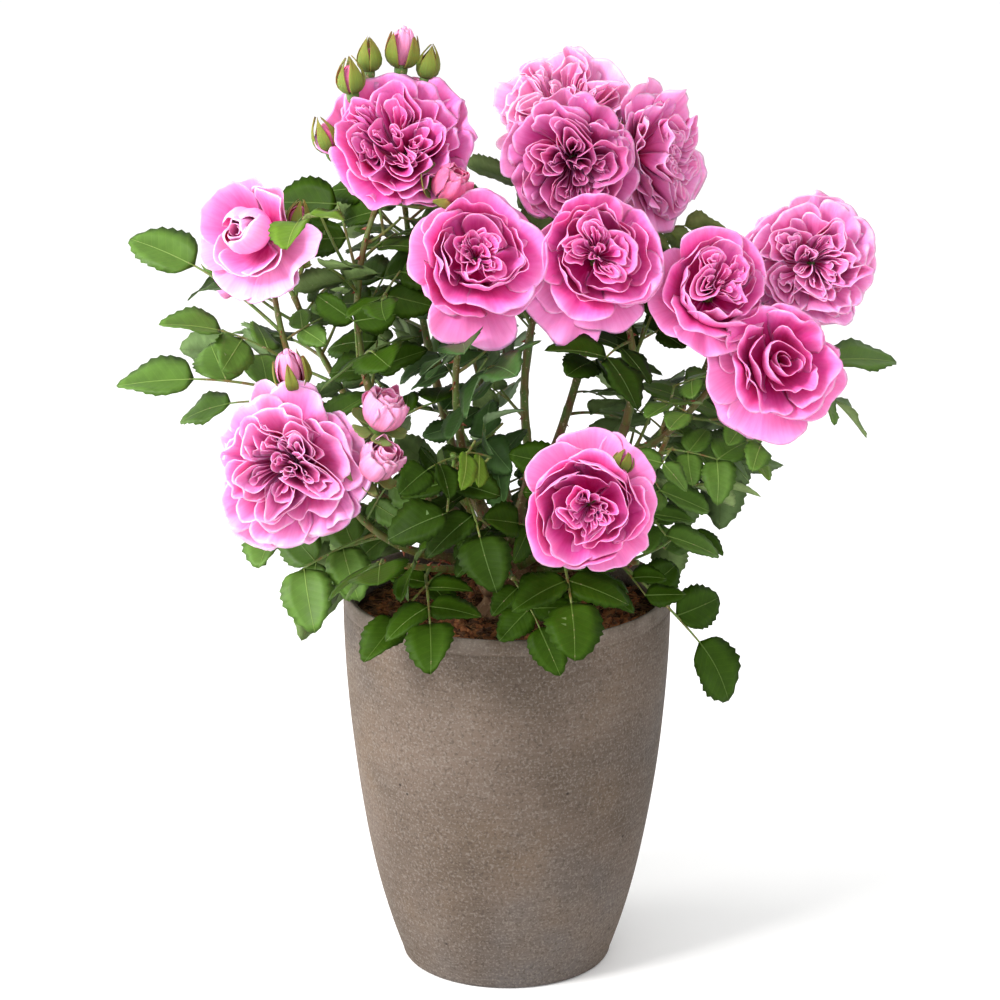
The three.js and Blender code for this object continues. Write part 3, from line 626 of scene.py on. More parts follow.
# %% [markdown]
# ## How the rose grows
# The CAD model's crown grows by a rule: every shoot is a curved stem, and compound leaves leave it turned
# 144 degrees from one to the next, each keeping only the leaflets that have room. The same rule is written
# again here, with the same seeded numbers in the same order, so that each fine leaf lies where its plain
# solid does. First come the driving numbers and the table of shoots, as the CAD model has them.

# %% Driving numbers of the crown
ROOTSTOCK = {"flare": 21.0, "neck": 15.0, "neck_height": 8.0, "knob": 22.0, "knob_height": 27.0}
CANE = {"root": 4.3, "tip": 3.0, "steps": 4}
STEM = {"root": 2.8, "tip": 1.9, "steps": 5}
STALK = {"root": 1.5, "tip": 1.5, "steps": 2}
STUB = {"root": 2.1, "tip": 3.1, "steps": 1, "length": 7.0, "fork": 4.5, "rise": 0.35}
LEAF = {"stalk": (20.0, 45.0, 66.0), "root": 1.4, "tip": 1.1, "steps": 2, "pairs": (0.74, 0.88),
        "splay": (74.0, 66.0), "length": 46.0, "half_width": 0.33, "fold": 0.07, "sag": 0.14, "thick": 1.2,
        "sunk": 1.0}
LEAF_REACH = LEAF["stalk"][2] + LEAF["length"]
LEAF_SCALE, LEAF_TURN, LEAF_STRAY = (0.9, 1.14), 144, 40
LEAF_TILT, LEAF_DROOP = (50, 80), (0.06, 0.34)
FACING = {"out": 0.45, "side": 1.25, "middle": -20.0, "turn": 45.0}
TRIES, TRY_SHRINK, TRY_TURN = 14, 0.02, 53
AIMED = {"scale": (0.72, 1.1), "droop": 0.16, "spare": 1.02, "rounds": 5}
BARE, FEWEST, CLEAR, OWN_CLEAR, ANY, SLACK = 0.06, 3, 1.0, 0.5, -100.0, 16.0
ARCH_HANDLE, FORK_HANDLE, TANGENT_STEP = 0.38, 18.0, 0.0001
KEPT_CLEAR = {"boxes": 24, "wall": 6.0, "mix": 10.0}
BASES = {"rosette": -0.5, "cupped": -0.66, "quartered": -0.66, "goblet": -0.66, "scroll": -0.66}
CREST, BLOOM_SEAT = 0.42, 0.06
BUD = {"low": -0.7, "high": 1.0, "seat": 0.08, "rise": 0.8}
KNOB = np.array([0.0, 0.0, SOIL_TOP + GAP + ROOTSTOCK["knob_height"]])

# %% [markdown]
# A shoot's stem runs from its root past its bend to its tip. One with a seat stands on a bare cane that
# springs from the knob at that azimuth and elevation. aims are leaf tips on the crown's outline. A bloom is
# x, y, z, diameter, azimuth and elevation, then its form and its tone. A bud is x, y, z and width, then its
# stage. tone is the green of the shoot's leaves, and twigs how many finer twigs fill it. The darkest green
# is painted shade, given to shoots inside and at the back of the crown, and the yellow-green one is painted
# light, given to shoots at its outer sides.

# %% The shoots
SHOOTS = [
    dict(name="top_left", seat=(-62, 58), root=(-70, -26, 350), bend=(-112, -36, 440), tip=(-84, -18, 512),
         leaves=7, seed=11, aims=[(0.7, -130, 36, 578)],
         blooms=[(-67, -25, 560, 92, -8, 40, "rosette", "rose")],
         buds=[(-98, -18, 598, 17, "split"), (-87, -3, 608, 15, "green"), (-66, 4, 611, 18, "pink"),
               (-50, 4, 602, 15, "green"), (-114, -16, 560, 17, "split"), (-36, -50, 537, 21, "flushed")],
         tone="mid", twigs=5),
    dict(name="left", seat=(-86, 38), root=(-84, -28, 330), bend=(-140, -40, 390), tip=(-148, -30, 468),
         leaves=6, seed=23, aims=[(0.5, -252, -30, 402), (0.66, -221, -64, 455), (0.8, -247, 20, 492),
                                  (0.08, -200, -12, 268)],
         blooms=[(-163, -42, 507, 70, -30, 25, "scroll", "blush")],
         buds=[(-132, -28, 512, 14, "split")], tone="lit_green", twigs=3),
    dict(name="centre_left", seat=(-18, 62), root=(-18, -26, 325), bend=(-44, -44, 395), tip=(-24, -34, 460),
         leaves=8, seed=31,
         blooms=[(-18, -75, 498, 75, 8, 22, "cupped", "hot")], tone="blue", twigs=7),
    dict(name="top_centre", seat=(78, 80), root=(14, 6, 350), bend=(2, 12, 430), tip=(44, 4, 506),
         leaves=7, seed=47, aims=[(0.6, -22, 20, 546)],
         blooms=[(41, -36, 549, 77, 2, 2, "rosette", "mauve"),
                 (36, 20, 574, 84, -10, 58, "rosette", "pale"),
                 (98, 8, 545, 82, 60, 6, "rosette", "blush")],
         tone="mid", twigs=7),
    dict(name="right_inner", seat=(58, 55), root=(76, -28, 376), bend=(88, -32, 420), tip=(70, -36, 462),
         leaves=4, seed=61, aims=[(0.85, 130, 0, 500)],
         blooms=[(58, -66, 496, 71, 5, 18, "quartered", "hot")], tone="deep", twigs=5),
    dict(name="right_outer", fork="right_inner", at=0.86, bend=(116, -30, 376), tip=(148, -22, 426),
         leaves=6, seed=71, aims=[(0.72, 258, 18, 408)],
         blooms=[(131, -56, 475, 69, 18, 34, "quartered", "hot"),
                 (194, -15, 479, 82, -4, 15, "rosette", "blush"),
                 (173, -64, 426, 74, 10, 14, "goblet", "hot")],
         tone="lit_green", twigs=4),
    dict(name="right_low", seat=(72, 30), root=(56, -22, 296), bend=(90, -36, 330), tip=(102, -44, 372),
         leaves=6, seed=83, aims=[(0.9, 178, -60, 340), (0.3, 156, -60, 274)],
         tone="lit_green", twigs=5),
    dict(name="lower_left", seat=(-58, 24), root=(-52, -34, 290), bend=(-96, -60, 310), tip=(-112, -44, 350),
         leaves=5, seed=5, aims=[(0.4, -184, -80, 251)],
         blooms=[(-138, -80, 359, 97, -12, 6, "rosette", "blush")],
         buds=[(-136, -62, 419, 19, "pink"), (-77, -78, 398, 23, "opening"), (-80, -84, 367, 22, "opening")],
         tone="lit_green", twigs=4),
    dict(name="lower_centre", bend=(28, -58, 300), tip=(44, -92, 334), bare=0.35, leaves=5, seed=97,
         blooms=[(49, -130, 351, 76, -6, 8, "cupped", "hot")], buds=[(72, -112, 376, 13, "green")],
         tone="mid", twigs=5),
    dict(name="middle", bend=(-26, -44, 320), tip=(-34, -84, 372), bare=0.3, leaves=8, seed=101,
         tone="deep", twigs=6),
    dict(name="low_left", bend=(-46, -64, 290), tip=(-82, -84, 300), bare=0.3, leaves=6, seed=103,
         aims=[(0.4, -86, -118, 246)], tone="mid", twigs=4),
    dict(name="low_front", bend=(0, -56, 286), tip=(4, -84, 290), bare=0.35, leaves=5, seed=107,
         aims=[(0.9, 31, -132, 246)], tone="mid", twigs=4),
    dict(name="low_right", bend=(58, -40, 284), tip=(84, -56, 292), bare=0.35, leaves=6, seed=109,
         aims=[(0.8, 143, -60, 208)], tone="mid", twigs=4),
    dict(name="back_top", seat=(-130, 62), root=(-36, 28, 345), bend=(-58, 40, 430), tip=(-66, 44, 500),
         leaves=8, seed=127,
         blooms=[(-70, 74, 538, 72, 188, 32, "rosette", "rose")], tone="mid", twigs=6),
    dict(name="back_left", seat=(-118, 34), root=(-66, 36, 325), bend=(-112, 52, 370), tip=(-138, 68, 430),
         leaves=8, seed=131, aims=[(0.55, -222, 84, 396)],
         blooms=[(-166, 94, 466, 66, 212, 22, "cupped", "hot")], buds=[(-132, 100, 474, 15, "green")],
         tone="deep", twigs=6),
    dict(name="back_centre", seat=(178, 52), root=(-6, 44, 330), bend=(-22, 66, 380), tip=(-16, 74, 424),
         leaves=8, seed=137,
         blooms=[(-20, 108, 450, 74, 184, 20, "rosette", "blush")], tone="blue", twigs=6),
    dict(name="back_high", seat=(140, 64), root=(34, 32, 350), bend=(56, 48, 410), tip=(62, 62, 462),
         leaves=8, seed=139,
         blooms=[(66, 96, 496, 68, 170, 28, "quartered", "hot")], tone="mid", twigs=6),
    dict(name="back_right", seat=(112, 36), root=(66, 34, 322), bend=(112, 46, 350), tip=(132, 58, 392),
         leaves=8, seed=149, aims=[(0.8, 214, 90, 350)],
         blooms=[(156, 88, 424, 66, 150, 18, "goblet", "rose")], tone="deep", twigs=6),
    dict(name="low_back_left", bend=(-58, 60, 292), tip=(-112, 70, 308), bare=0.3, leaves=8, seed=151,
         aims=[(0.5, -160, 152, 248)],
         blooms=[(-144, 94, 322, 70, 215, 8, "cupped", "blush")], tone="mid", twigs=5),
    dict(name="low_back", bend=(0, 60, 292), tip=(-4, 106, 318), bare=0.3, leaves=8, seed=157,
         aims=[(0.9, -14, 196, 300)], tone="deep", twigs=5),
    dict(name="low_back_right", bend=(58, 44, 290), tip=(104, 78, 300), bare=0.3, leaves=8, seed=163,
         aims=[(0.9, 152, 146, 268)], tone="mid", twigs=5),
]
for shoot in SHOOTS:
    for part in ("aims", "blooms", "buds"):
        shoot.setdefault(part, [])
LEAFY = [f"{shoot['name']}_leaves" for shoot in SHOOTS]
CANED = [f"{shoot['name']}_cane" for shoot in SHOOTS if "seat" in shoot]

# %% [markdown]
# ## Curves and boxes
# Stems and stalks are Bezier curves. Whether a leaf has room is asked of boxes: one round every leaflet and
# one round each stretch of a stem. Two boxes are apart when some line shows daylight between their shadows
# on it. All the boxes placed so far are kept in arrays, so a new one is tested against every one of them at
# once.

# %% Curves and boxes
def between(ends, part):
    return ends[0] + (ends[1] - ends[0]) * part


def bezier(curve, t):
    """A Bezier curve at every t: each control point times its Bernstein weight, added up."""
    degree, t = len(curve) - 1, np.asarray(t, float)
    weights = [math.comb(degree, i) * t ** i * (1 - t) ** (degree - i) for i in range(degree + 1)]
    return np.tensordot(np.stack(weights, -1), curve, 1)


def tangent(curve, t):
    """The direction from just before t to just after it."""
    return unit(bezier(curve, min(t + TANGENT_STEP, 1)) - bezier(curve, max(t - TANGENT_STEP, 0)))


def square(direction, facing):
    """Three square axes: the first along a direction, and the third as near as it can be to another."""
    ahead = unit(direction)
    front = unit(facing - ahead * (facing @ ahead))
    return np.array([ahead, np.cross(front, ahead), front])


def heading(azimuth, elevation):
    """A unit vector: azimuth 0 is -Y and 90 is +X, and the elevation is measured up from the level."""
    turn, rise = math.radians(azimuth), math.radians(elevation)
    return np.array([math.sin(turn) * math.cos(rise), -math.cos(turn) * math.cos(rise), math.sin(rise)])


def besides(curve):
    """A direction that a limb never runs along: across for a steep one, and up for a level one."""
    return ACROSS if abs(unit(curve[-1] - curve[0])[2]) > 0.7 else UP


def axis_point(curve, part, steps):
    """A point on the straight stretches that a limb's rings are joined by."""
    ring = min(math.floor(part * steps), steps - 1)
    ends = bezier(curve, ring / steps), bezier(curve, (ring + 1) / steps)
    return between(ends, part * steps - ring)


def perch(curve, part, steps):
    """A place on a limb, and square axes there, of which the first runs along it."""
    return axis_point(curve, part, steps), square(tangent(curve, part), besides(curve))


def leaning(axes, turn, tilt):
    """A direction that leans away from the first of three square axes by a tilt, turned round it."""
    rise, side, front = axes
    out = side * math.cos(turn) + front * math.sin(turn)
    return rise * math.cos(tilt) + out * math.sin(tilt)


def limb_boxes(curve, shape):
    """The boxes along a limb, each as its middle, its axes and its half sizes."""
    steps, facing = shape["steps"], besides(curve)
    points = bezier(curve, np.arange(steps + 1) / steps)
    boxes = []
    for i in range(steps):
        radius = between((shape["root"], shape["tip"]), i / steps)
        span = points[i + 1] - points[i]
        half = np.array([np.linalg.norm(span) / 2 + radius / 2, radius, radius])
        boxes.append(((points[i] + points[i + 1]) / 2, square(span, facing), half))
    return boxes


class Taken:
    """Every box that a leaf has to keep clear of, with its owner and the room that leaves of the same owner
    leave it."""

    def __init__(self, most=9000):
        self.count = 0
        self.centre, self.axes, self.half = np.zeros((most, 3)), np.zeros((most, 3, 3)), np.zeros((most, 3))
        self.reach, self.clear, self.owner = np.zeros(most), np.zeros(most), np.zeros(most, int)
        self.names = {}

    def add(self, owner, boxes, clear=OWN_CLEAR):
        for centre, axes, half in boxes:
            i = self.count
            self.centre[i], self.axes[i], self.half[i] = centre, axes, half
            self.reach[i], self.clear[i] = np.linalg.norm(half), clear
            self.owner[i] = self.names.setdefault(owner, len(self.names))
            self.count += 1

    def hits(self, box, name, clear_of_others=CLEAR):
        """Whether a box meets any other, by the daylight test on 15 lines."""
        centre, axes, half = box
        n, own = self.count, self.names.get(name, -1)
        apart = self.centre[:n] - centre
        clear = np.where(self.owner[:n] == own, self.clear[:n], clear_of_others)
        near = np.linalg.norm(apart, axis=1) <= self.reach[:n] + np.linalg.norm(half) + clear
        apart, clear, others, sizes = apart[near], clear[near], self.axes[:n][near], self.half[:n][near]
        crossed = np.cross(axes[None, :, None], others[:, None]).reshape(-1, 9, 3)
        lines = np.concatenate([np.broadcast_to(axes, others.shape), others, crossed], 1)
        length = np.linalg.norm(lines, axis=2)
        own_shadow = np.abs(lines @ axes.T) @ half
        other_shadow = np.einsum("nla,na->nl", np.abs(np.einsum("nlk,nak->nla", lines, others)), sizes)
        far = np.abs(np.einsum("nlk,nk->nl", lines, apart))
        meet = (length < 1e-6) | (far <= own_shadow + other_shadow + clear[:, None] * length)
        return bool(meet.all(1).any())


taken = Taken()

# %% [markdown]
# ## Canes, stems and leaves by the rule
# A leaf is planned as a stalk curve with up to five leaflets, then fitted: a leaflet that would touch
# another or stray into a neighbour's space is left off, and a leaf with too few is tried again at another
# angle.

# %% Canes, stems and leaves by the rule
def knob_seat(direction):
    return KNOB + direction * (ROOTSTOCK["knob"] + GAP)


def arch(start, leaving, end, arriving):
    """A curve that leaves one point and reaches another in given directions."""
    handle = np.linalg.norm(end - start) * ARCH_HANDLE
    return np.array([start, start + leaving * handle, end - arriving * handle, end])


def cane_curve(shoot):
    leaving, root = heading(*shoot["seat"]), np.array(shoot["root"], float)
    return arch(knob_seat(leaving), leaving, root, unit(np.array(shoot["bend"]) - root))


def stem_curve(shoot, canes):
    """The leafy stem, which starts a gap away from what carries it."""
    bend, tip = np.array(shoot["bend"], float), np.array(shoot["tip"], float)
    if "seat" in shoot:
        root = np.array(shoot["root"], float)
        return np.array([root + unit(bend - root) * GAP, bend, tip])
    if "fork" in shoot:
        parent, at = canes[shoot["fork"]], shoot["at"]
        start = axis_point(parent, at, CANE["steps"])
        out = square(tangent(parent, at), bend - start)[2]
        root = start + out * (between((CANE["root"], CANE["tip"]), at) + GAP)
        return np.array([root, root + out * FORK_HANDLE, bend, tip])
    return np.array([knob_seat(unit(bend - KNOB)), bend, tip])


def dice(seed):
    """Repeatable numbers from 0 to 1: each state is the last one times a large number, plus another."""
    state = seed

    def roll():
        nonlocal state
        state = (state * 1664525 + 1013904223) % 2 ** 32
        return state / 2 ** 32

    return roll


def leaf_facing(point):
    """Leaves turn their faces up, outwards, and to the front or the back of the crown's middle."""
    outward = unit(np.array([point[0], point[1], 0.0]))
    side = min(max((point[1] - FACING["middle"]) / FACING["turn"], -1), 1)
    return UP + outward * FACING["out"] + np.array([0, FACING["side"] * side, 0])


def leaflet_box(foot, axes, length):
    middle = foot + axes[0] * length * 0.5 - axes[2] * length * 0.035
    half = np.array([length * 0.5, length * LEAF["half_width"], length * 0.105 + LEAF["thick"] / 2])
    return middle, axes, half


def plan_leaf(root, direction, scale, droop, first):
    """A compound leaf's stalk curve and leaflets, from its root on a stem."""
    stations = [(distance - LEAF["stalk"][0]) * scale + first for distance in LEAF["stalk"]]
    whole = stations[2]
    curve = np.array([root, root + direction * whole / 2, root + direction * whole - UP * droop * whole])
    facing, leaflets = leaf_facing(root), []
    turns = [(whole, 0, 1.0)] + [(stations[pair], side * LEAF["splay"][pair], LEAF["pairs"][pair])
                                 for pair in (1, 0) for side in (1, -1)]
    for station, turn, size in turns:
        part, tilt = station / whole, math.radians(turn)
        axes = square(tangent(curve, part), facing)
        pointing = axes[0] * math.cos(tilt) + axes[1] * math.sin(tilt)
        own = np.array([pointing, np.cross(axes[2], pointing), axes[2]])
        length = LEAF["length"] * scale * size
        foot = axis_point(curve, part, LEAF["steps"]) - pointing * (0 if turn else LEAF["sunk"])
        leaflets.append({"foot": foot, "axes": own, "length": length, "box": leaflet_box(foot, own, length),
                         "part": min(part, 1.0)})
    return {"curve": curve, "leaflets": leaflets, "boxes": limb_boxes(curve, LEAF), "scale": scale}


def hanging_tip(leaflet):
    end = leaflet["foot"] + leaflet["axes"][0] * leaflet["length"]
    return end - leaflet["axes"][2] * LEAF["sag"] * leaflet["length"]


def aim_leaf(root, target):
    """A leaf whose tip lies at a given point: its heading is corrected by what it misses by."""
    span, way = np.linalg.norm(target - root), target - root
    scale = min(max(span / LEAF_REACH, AIMED["scale"][0]), AIMED["scale"][1])
    first = span * AIMED["spare"] - (LEAF_REACH - LEAF["stalk"][0]) * scale
    for _ in range(AIMED["rounds"]):
        plan = plan_leaf(root, unit(way), scale, AIMED["droop"], first)
        way = way + target - hanging_tip(plan["leaflets"][0])
    return plan


def is_home(point, name):
    """Whether no other stem is nearer to a point than its own one by more than the slack."""
    near = {other: np.linalg.norm(stem["samples"] - point, axis=1).min() for other, stem in stems.items()}
    return all(near[other] > near[name] - SLACK for other in near if other != name)


def fit_leaf(plan, name, fewest, clear_of_others=CLEAR, inside=None):
    """Keeps the leaflets of a planned leaf that have room, or says that the leaf has none."""
    if any(taken.hits(box, name, clear_of_others) for box in plan["boxes"]):
        return None
    kept = [leaflet for leaflet in plan["leaflets"] if is_home(leaflet["box"][0], name)
            and not taken.hits(leaflet["box"], name, clear_of_others)
            and (inside is None or inside(leaflet))]
    if len(kept) < fewest:
        return None
    taken.add(name, plan["boxes"] + [leaflet["box"] for leaflet in kept])
    return {**plan, "leaflets": kept}


def aimed_leaves(shoot):
    curve, grown = stems[shoot["name"]]["curve"], []
    for part, *target in shoot["aims"]:
        plan = aim_leaf(axis_point(curve, part, STEM["steps"]), np.array(target, float))
        grown.append(fit_leaf(plan, shoot["name"], 1))
    return [leaf for leaf in grown if leaf]


def seeded_leaves(shoot):
    """Leaves up a stem, each turned 144 degrees from the last, in the first of its tries that has room."""
    curve, name, roll = stems[shoot["name"]]["curve"], shoot["name"], dice(shoot["seed"])
    grown = []
    for i in range(shoot["leaves"]):
        part = between((shoot.get("bare", BARE), 1), (i + 0.5) / shoot["leaves"])
        root, axes = perch(curve, part, STEM["steps"])
        for attempt in range(TRIES):
            turn = math.radians(i * LEAF_TURN + attempt * TRY_TURN + LEAF_STRAY * roll())
            way = leaning(axes, turn, math.radians(between(LEAF_TILT, roll())))
            scale = between(LEAF_SCALE, roll()) * (1 - TRY_SHRINK * attempt)
            plan = plan_leaf(root, way, scale, between(LEAF_DROOP, roll()), LEAF["stalk"][0] * scale)
            leaf = fit_leaf(plan, name, FEWEST)
            if leaf:
                grown.append(leaf)
                break
    return grown


def pot_boxes():
    """The upper half of the pot's wall as a ring of boxes, each with one behind it for the top of the mix."""
    low, width, boxes = LIP / 2, LIP_RADIUS * math.tan(math.pi / KEPT_CLEAR["boxes"]) * 1.05, []
    for i in range(KEPT_CLEAR["boxes"]):
        out = heading(i * 360 / KEPT_CLEAR["boxes"], 0)
        axes = square(out, UP)
        wall = UP * (LIP + low) / 2 + out * LIP_RADIUS
        mix = UP * (SOIL_TOP - KEPT_CLEAR["mix"]) + out * LIP_RADIUS / 2
        boxes.append((wall, axes, np.array([KEPT_CLEAR["wall"], width, (LIP - low) / 2])))
        boxes.append((mix, axes, np.array([LIP_RADIUS / 2, width, KEPT_CLEAR["mix"]])))
    return boxes


def plan_spray(shoot):
    """The stalks at the end of a shoot, and where each bloom and bud stands on them."""
    stem = stems[shoot["name"]]["curve"]
    rise = tangent(stem, 1)
    start = np.array(shoot["tip"], float) + rise * GAP
    fork = start + rise * STUB["fork"]
    spray = {"stub": np.array([start, start + rise * STUB["length"]]), "stalks": [], "blooms": [], "buds": []}
    spray["boxes"] = limb_boxes(spray["stub"], STUB)

    def add_stalk(foot, facing):
        leaving = unit(unit(foot - fork) + rise * STUB["rise"])
        spray["stalks"].append(arch(fork, leaving, foot, facing))
        spray["boxes"] += limb_boxes(spray["stalks"][-1], STALK)

    for x, y, z, diameter, azimuth, elevation, form, tone in shoot["blooms"]:
        centre, facing = np.array([x, y, z], float), heading(azimuth, elevation)
        radius, base = diameter / 2, BASES[form]
        height = (CREST - base) / 2
        add_stalk(centre + facing * (base + BLOOM_SEAT) * radius, facing)
        spray["blooms"].append({"centre": centre, "facing": facing, "radius": radius, "base": base,
                                "form": form, "tone": tone})
        spray["boxes"].append((centre + facing * (base + height) * radius, square(facing, UP),
                               np.array([height, 1, 1]) * radius))
    for x, y, z, width, stage in shoot["buds"]:
        centre = np.array([x, y, z], float)
        facing = unit(unit(centre - fork) + UP * BUD["rise"])
        add_stalk(centre + facing * (BUD["low"] + BUD["seat"]) * width, facing)
        spray["buds"].append({"centre": centre, "facing": facing, "width": width, "stage": stage})
        middle = centre + facing * (BUD["low"] + BUD["high"]) / 2 * width
        half = np.array([(BUD["high"] - BUD["low"]) / 2, 0.5, 0.5]) * width
        spray["boxes"].append((middle, square(facing, ACROSS), half))
    return spray


taken.add("pot", pot_boxes())
knob_half = np.array([ROOTSTOCK["knob_height"], ROOTSTOCK["knob"], ROOTSTOCK["knob"]])
taken.add("rootstock", [(KNOB, square(UP, ACROSS), knob_half)])
canes = {shoot["name"]: cane_curve(shoot) for shoot in SHOOTS if "seat" in shoot}
for name, curve in canes.items():
    taken.add(f"{name}_cane", limb_boxes(curve, CANE))
stems = {}
for shoot in SHOOTS:
    curve = stem_curve(shoot, canes)
    stems[shoot["name"]] = {"curve": curve, "samples": bezier(curve, np.arange(13) / 12)}
sprays = {shoot["name"]: plan_spray(shoot) for shoot in SHOOTS if shoot["blooms"]}
for name, spray in sprays.items():
    taken.add(f"{name}_blooms", spray["boxes"])
for name, stem in stems.items():
    taken.add(name, limb_boxes(stem["curve"], STEM), ANY)
masses = {shoot["name"]: aimed_leaves(shoot) for shoot in SHOOTS}
for shoot in SHOOTS:
    masses[shoot["name"]] += seeded_leaves(shoot)
print("leaves by the rule:", sum(len(mass) for mass in masses.values()), "with",
      sum(len(leaf["leaflets"]) for mass in masses.values() for leaf in mass), "leaflets")


def leaf_box(name):
    """The box round the CAD solid of a shoot's leaves, in mm."""
    return [np.array(corner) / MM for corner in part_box(f"{name}_leaves")]


def rule_gap():
    """How far the leaves grown here reach beyond, or fall short of, the boxes of their CAD solids, in mm."""
    worst = 0.0
    for name, mass in masses.items():
        low, high = leaf_box(name)
        tips = np.array([hanging_tip(leaflet) for leaf in mass for leaflet in leaf["leaflets"]])
        worst = max(worst, (low - tips.min(0)).max(), (tips.max(0) - high).max())
    return worst


print(f"leaf tips beyond their CAD boxes: {rule_gap():.2f} mm at most")

# %% [markdown]
# ## Finer twigs
# On a real rose the shoots carry side twigs with smaller leaves, which close the gaps near the stems. They
# grow by the same rule: a twig leaves its stem as a leaf would, bends up a little and carries two small
# leaves, each in the first of its tries that has room. Every leaflet stays inside its shoot's CAD box, so
# the crown's outline stays as it is.

# %% Finer twigs
TWIG = {"root": 1.3, "tip": 0.8, "steps": 2, "length": (24, 46), "tilt": (35, 70), "lift": 0.25, "turn": 72,
        "leaves": (1.0, 0.5), "scale": (0.62, 0.98), "leaf_tilt": (20, 65), "tries": 9, "clear": 0.4,
        "fewest": 2, "highest": 0.96, "spare": 5.0, "seed": 7000}


def keeps_inside(name):
    """A test of whether a leaflet's tip lies inside its shoot's CAD box, give or take a few millimetres."""
    low, high = leaf_box(name)

    def inside(leaflet):
        tip = leaflet["foot"] + leaflet["axes"][0] * leaflet["length"]
        return bool(np.all(tip > low - TWIG["spare"]) and np.all(tip < high + TWIG["spare"]))

    return inside


def twig_leaf(name, curve, part, roll, inside):
    """A small leaf on a twig, in the first of its tries that has room."""
    root, axes = perch(curve, part, TWIG["steps"])
    for _ in range(TWIG["tries"]):
        way = leaning(axes, 2 * math.pi * roll(), math.radians(between(TWIG["leaf_tilt"], roll())))
        scale = between(TWIG["scale"], roll())
        plan = plan_leaf(root, way, scale, between(LEAF_DROOP, roll()), LEAF["stalk"][0] * scale)
        leaf = fit_leaf(plan, name, TWIG["fewest"], TWIG["clear"], inside)
        if leaf:
            return [leaf]
    return []


def finer_twigs(shoot):
    """Side twigs up a stem and their leaves."""
    curve, name, roll = stems[shoot["name"]]["curve"], shoot["name"], dice(shoot["seed"] + TWIG["seed"])
    inside, grown = keeps_inside(name), []
    for i in range(shoot["twigs"]):
        part = between((shoot.get("bare", BARE), TWIG["highest"]), (i + 0.5) / shoot["twigs"])
        root, axes = perch(curve, part, STEM["steps"])
        for attempt in range(TWIG["tries"]):
            turn = math.radians(i * LEAF_TURN + TWIG["turn"] + attempt * TRY_TURN + LEAF_STRAY * roll())
            way = leaning(axes, turn, math.radians(between(TWIG["tilt"], roll())))
            length = between(TWIG["length"], roll())
            twig = np.array([root, root + way * length / 2, root + way * length + UP * TWIG["lift"] * length])
            boxes = limb_boxes(twig, TWIG)
            if any(taken.hits(box, name, TWIG["clear"]) for box in boxes[1:]):
                continue
            leaves = [leaf for along in TWIG["leaves"] for leaf in twig_leaf(name, twig, along, roll, inside)]
            if leaves:
                taken.add(name, boxes, ANY)
                grown.append({"curve": twig, "leaves": leaves})
                break
    return grown


twigs = {shoot["name"]: finer_twigs(shoot) for shoot in SHOOTS}
print("finer twigs:", sum(map(len, twigs.values())), "with",
      sum(len(twig["leaves"]) for grown in twigs.values() for twig in grown), "small leaves")

# %% [markdown]
# ## Sky between the shoots
# From the front one sees right through the crown in some twenty places, most of them by the upper right
# cane and at the sides. A rose drops single leaflets where they shade each other, and the leaf keeps the
# rest. So a window is a cone from where one stands to a ring in the plant's middle plane, and a leaflet
# whose middle lies in it is left out; a leaf that would keep fewer than two goes with them. The stems run
# on across. Another way would be to grow the plant anew until it is open in these places, but then the
# leaves would no longer be the ones that the CAD model's rule grows.

# %% Sky between the shoots
EYE = np.array(CAMERA["place"])
WINDOWS = np.array([
    (36, 385, 14), (24, 422, 9), (22, 370, 8), (19, 399, 8), (47, 368, 6), (177, 357, 8), (188, 371, 7),
    (169, 314, 10), (151, 289, 10), (182, 289, 16), (134, 305, 5), (122, 258, 4), (-156, 252, 6),
    (-153, 271, 4), (-180, 297, 7), (-125, 408, 7), (-180, 438, 8), (-171, 388, 6), (-49, 373, 4),
    (112, 416, 5), (204, 346, 17),
])  # middle across, middle up and radius, in mm
WINDOW_EDGE = 0.28
FEWEST_LEFT = 2


def in_window(leaflet):
    """Whether a leaflet's middle, seen from the eye, lies in a window widened by a share of its length."""
    middle = leaflet["foot"] + leaflet["axes"][0] * leaflet["length"] / 2
    seen = EYE + (middle - EYE) * EYE[1] / (EYE[1] - middle[1])
    away = np.hypot(WINDOWS[:, 0] - seen[0], WINDOWS[:, 1] - seen[2])
    return bool(np.any(away < WINDOWS[:, 2] + WINDOW_EDGE * leaflet["length"]))


def opened(leaves):
    """The leaves without the leaflets that close a window."""
    thinned = [{**leaf, "leaflets": [leaflet for leaflet in leaf["leaflets"] if not in_window(leaflet)]}
               for leaf in leaves]
    return [leaf for leaf in thinned if len(leaf["leaflets"]) >= FEWEST_LEFT]


masses = {name: opened(mass) for name, mass in masses.items()}
for name, grown in twigs.items():
    for twig in grown:
        twig["leaves"] = opened(twig["leaves"])
    twigs[name] = [twig for twig in grown if twig["leaves"]]
print("leaves left round the windows:", sum(map(len, masses.values())), "by the rule and",
      sum(len(twig["leaves"]) for grown in twigs.values() for twig in grown), "on finer twigs")

# %% [markdown]
# ## Rootstock, canes and stems
# The rootstock is old wood: a knob with ridged, flaking bark. The canes are green where young and brown
# where old, with a swelling at every bud eye. Their relief is in the mesh: each ring's radius is the taper,
# times a share made of the swelling at the eyes and of ridges that run along the cane. Thorns are small
# hooks with a broad foot, red-brown and pointing down, set round the canes and stems with a fixed seed.

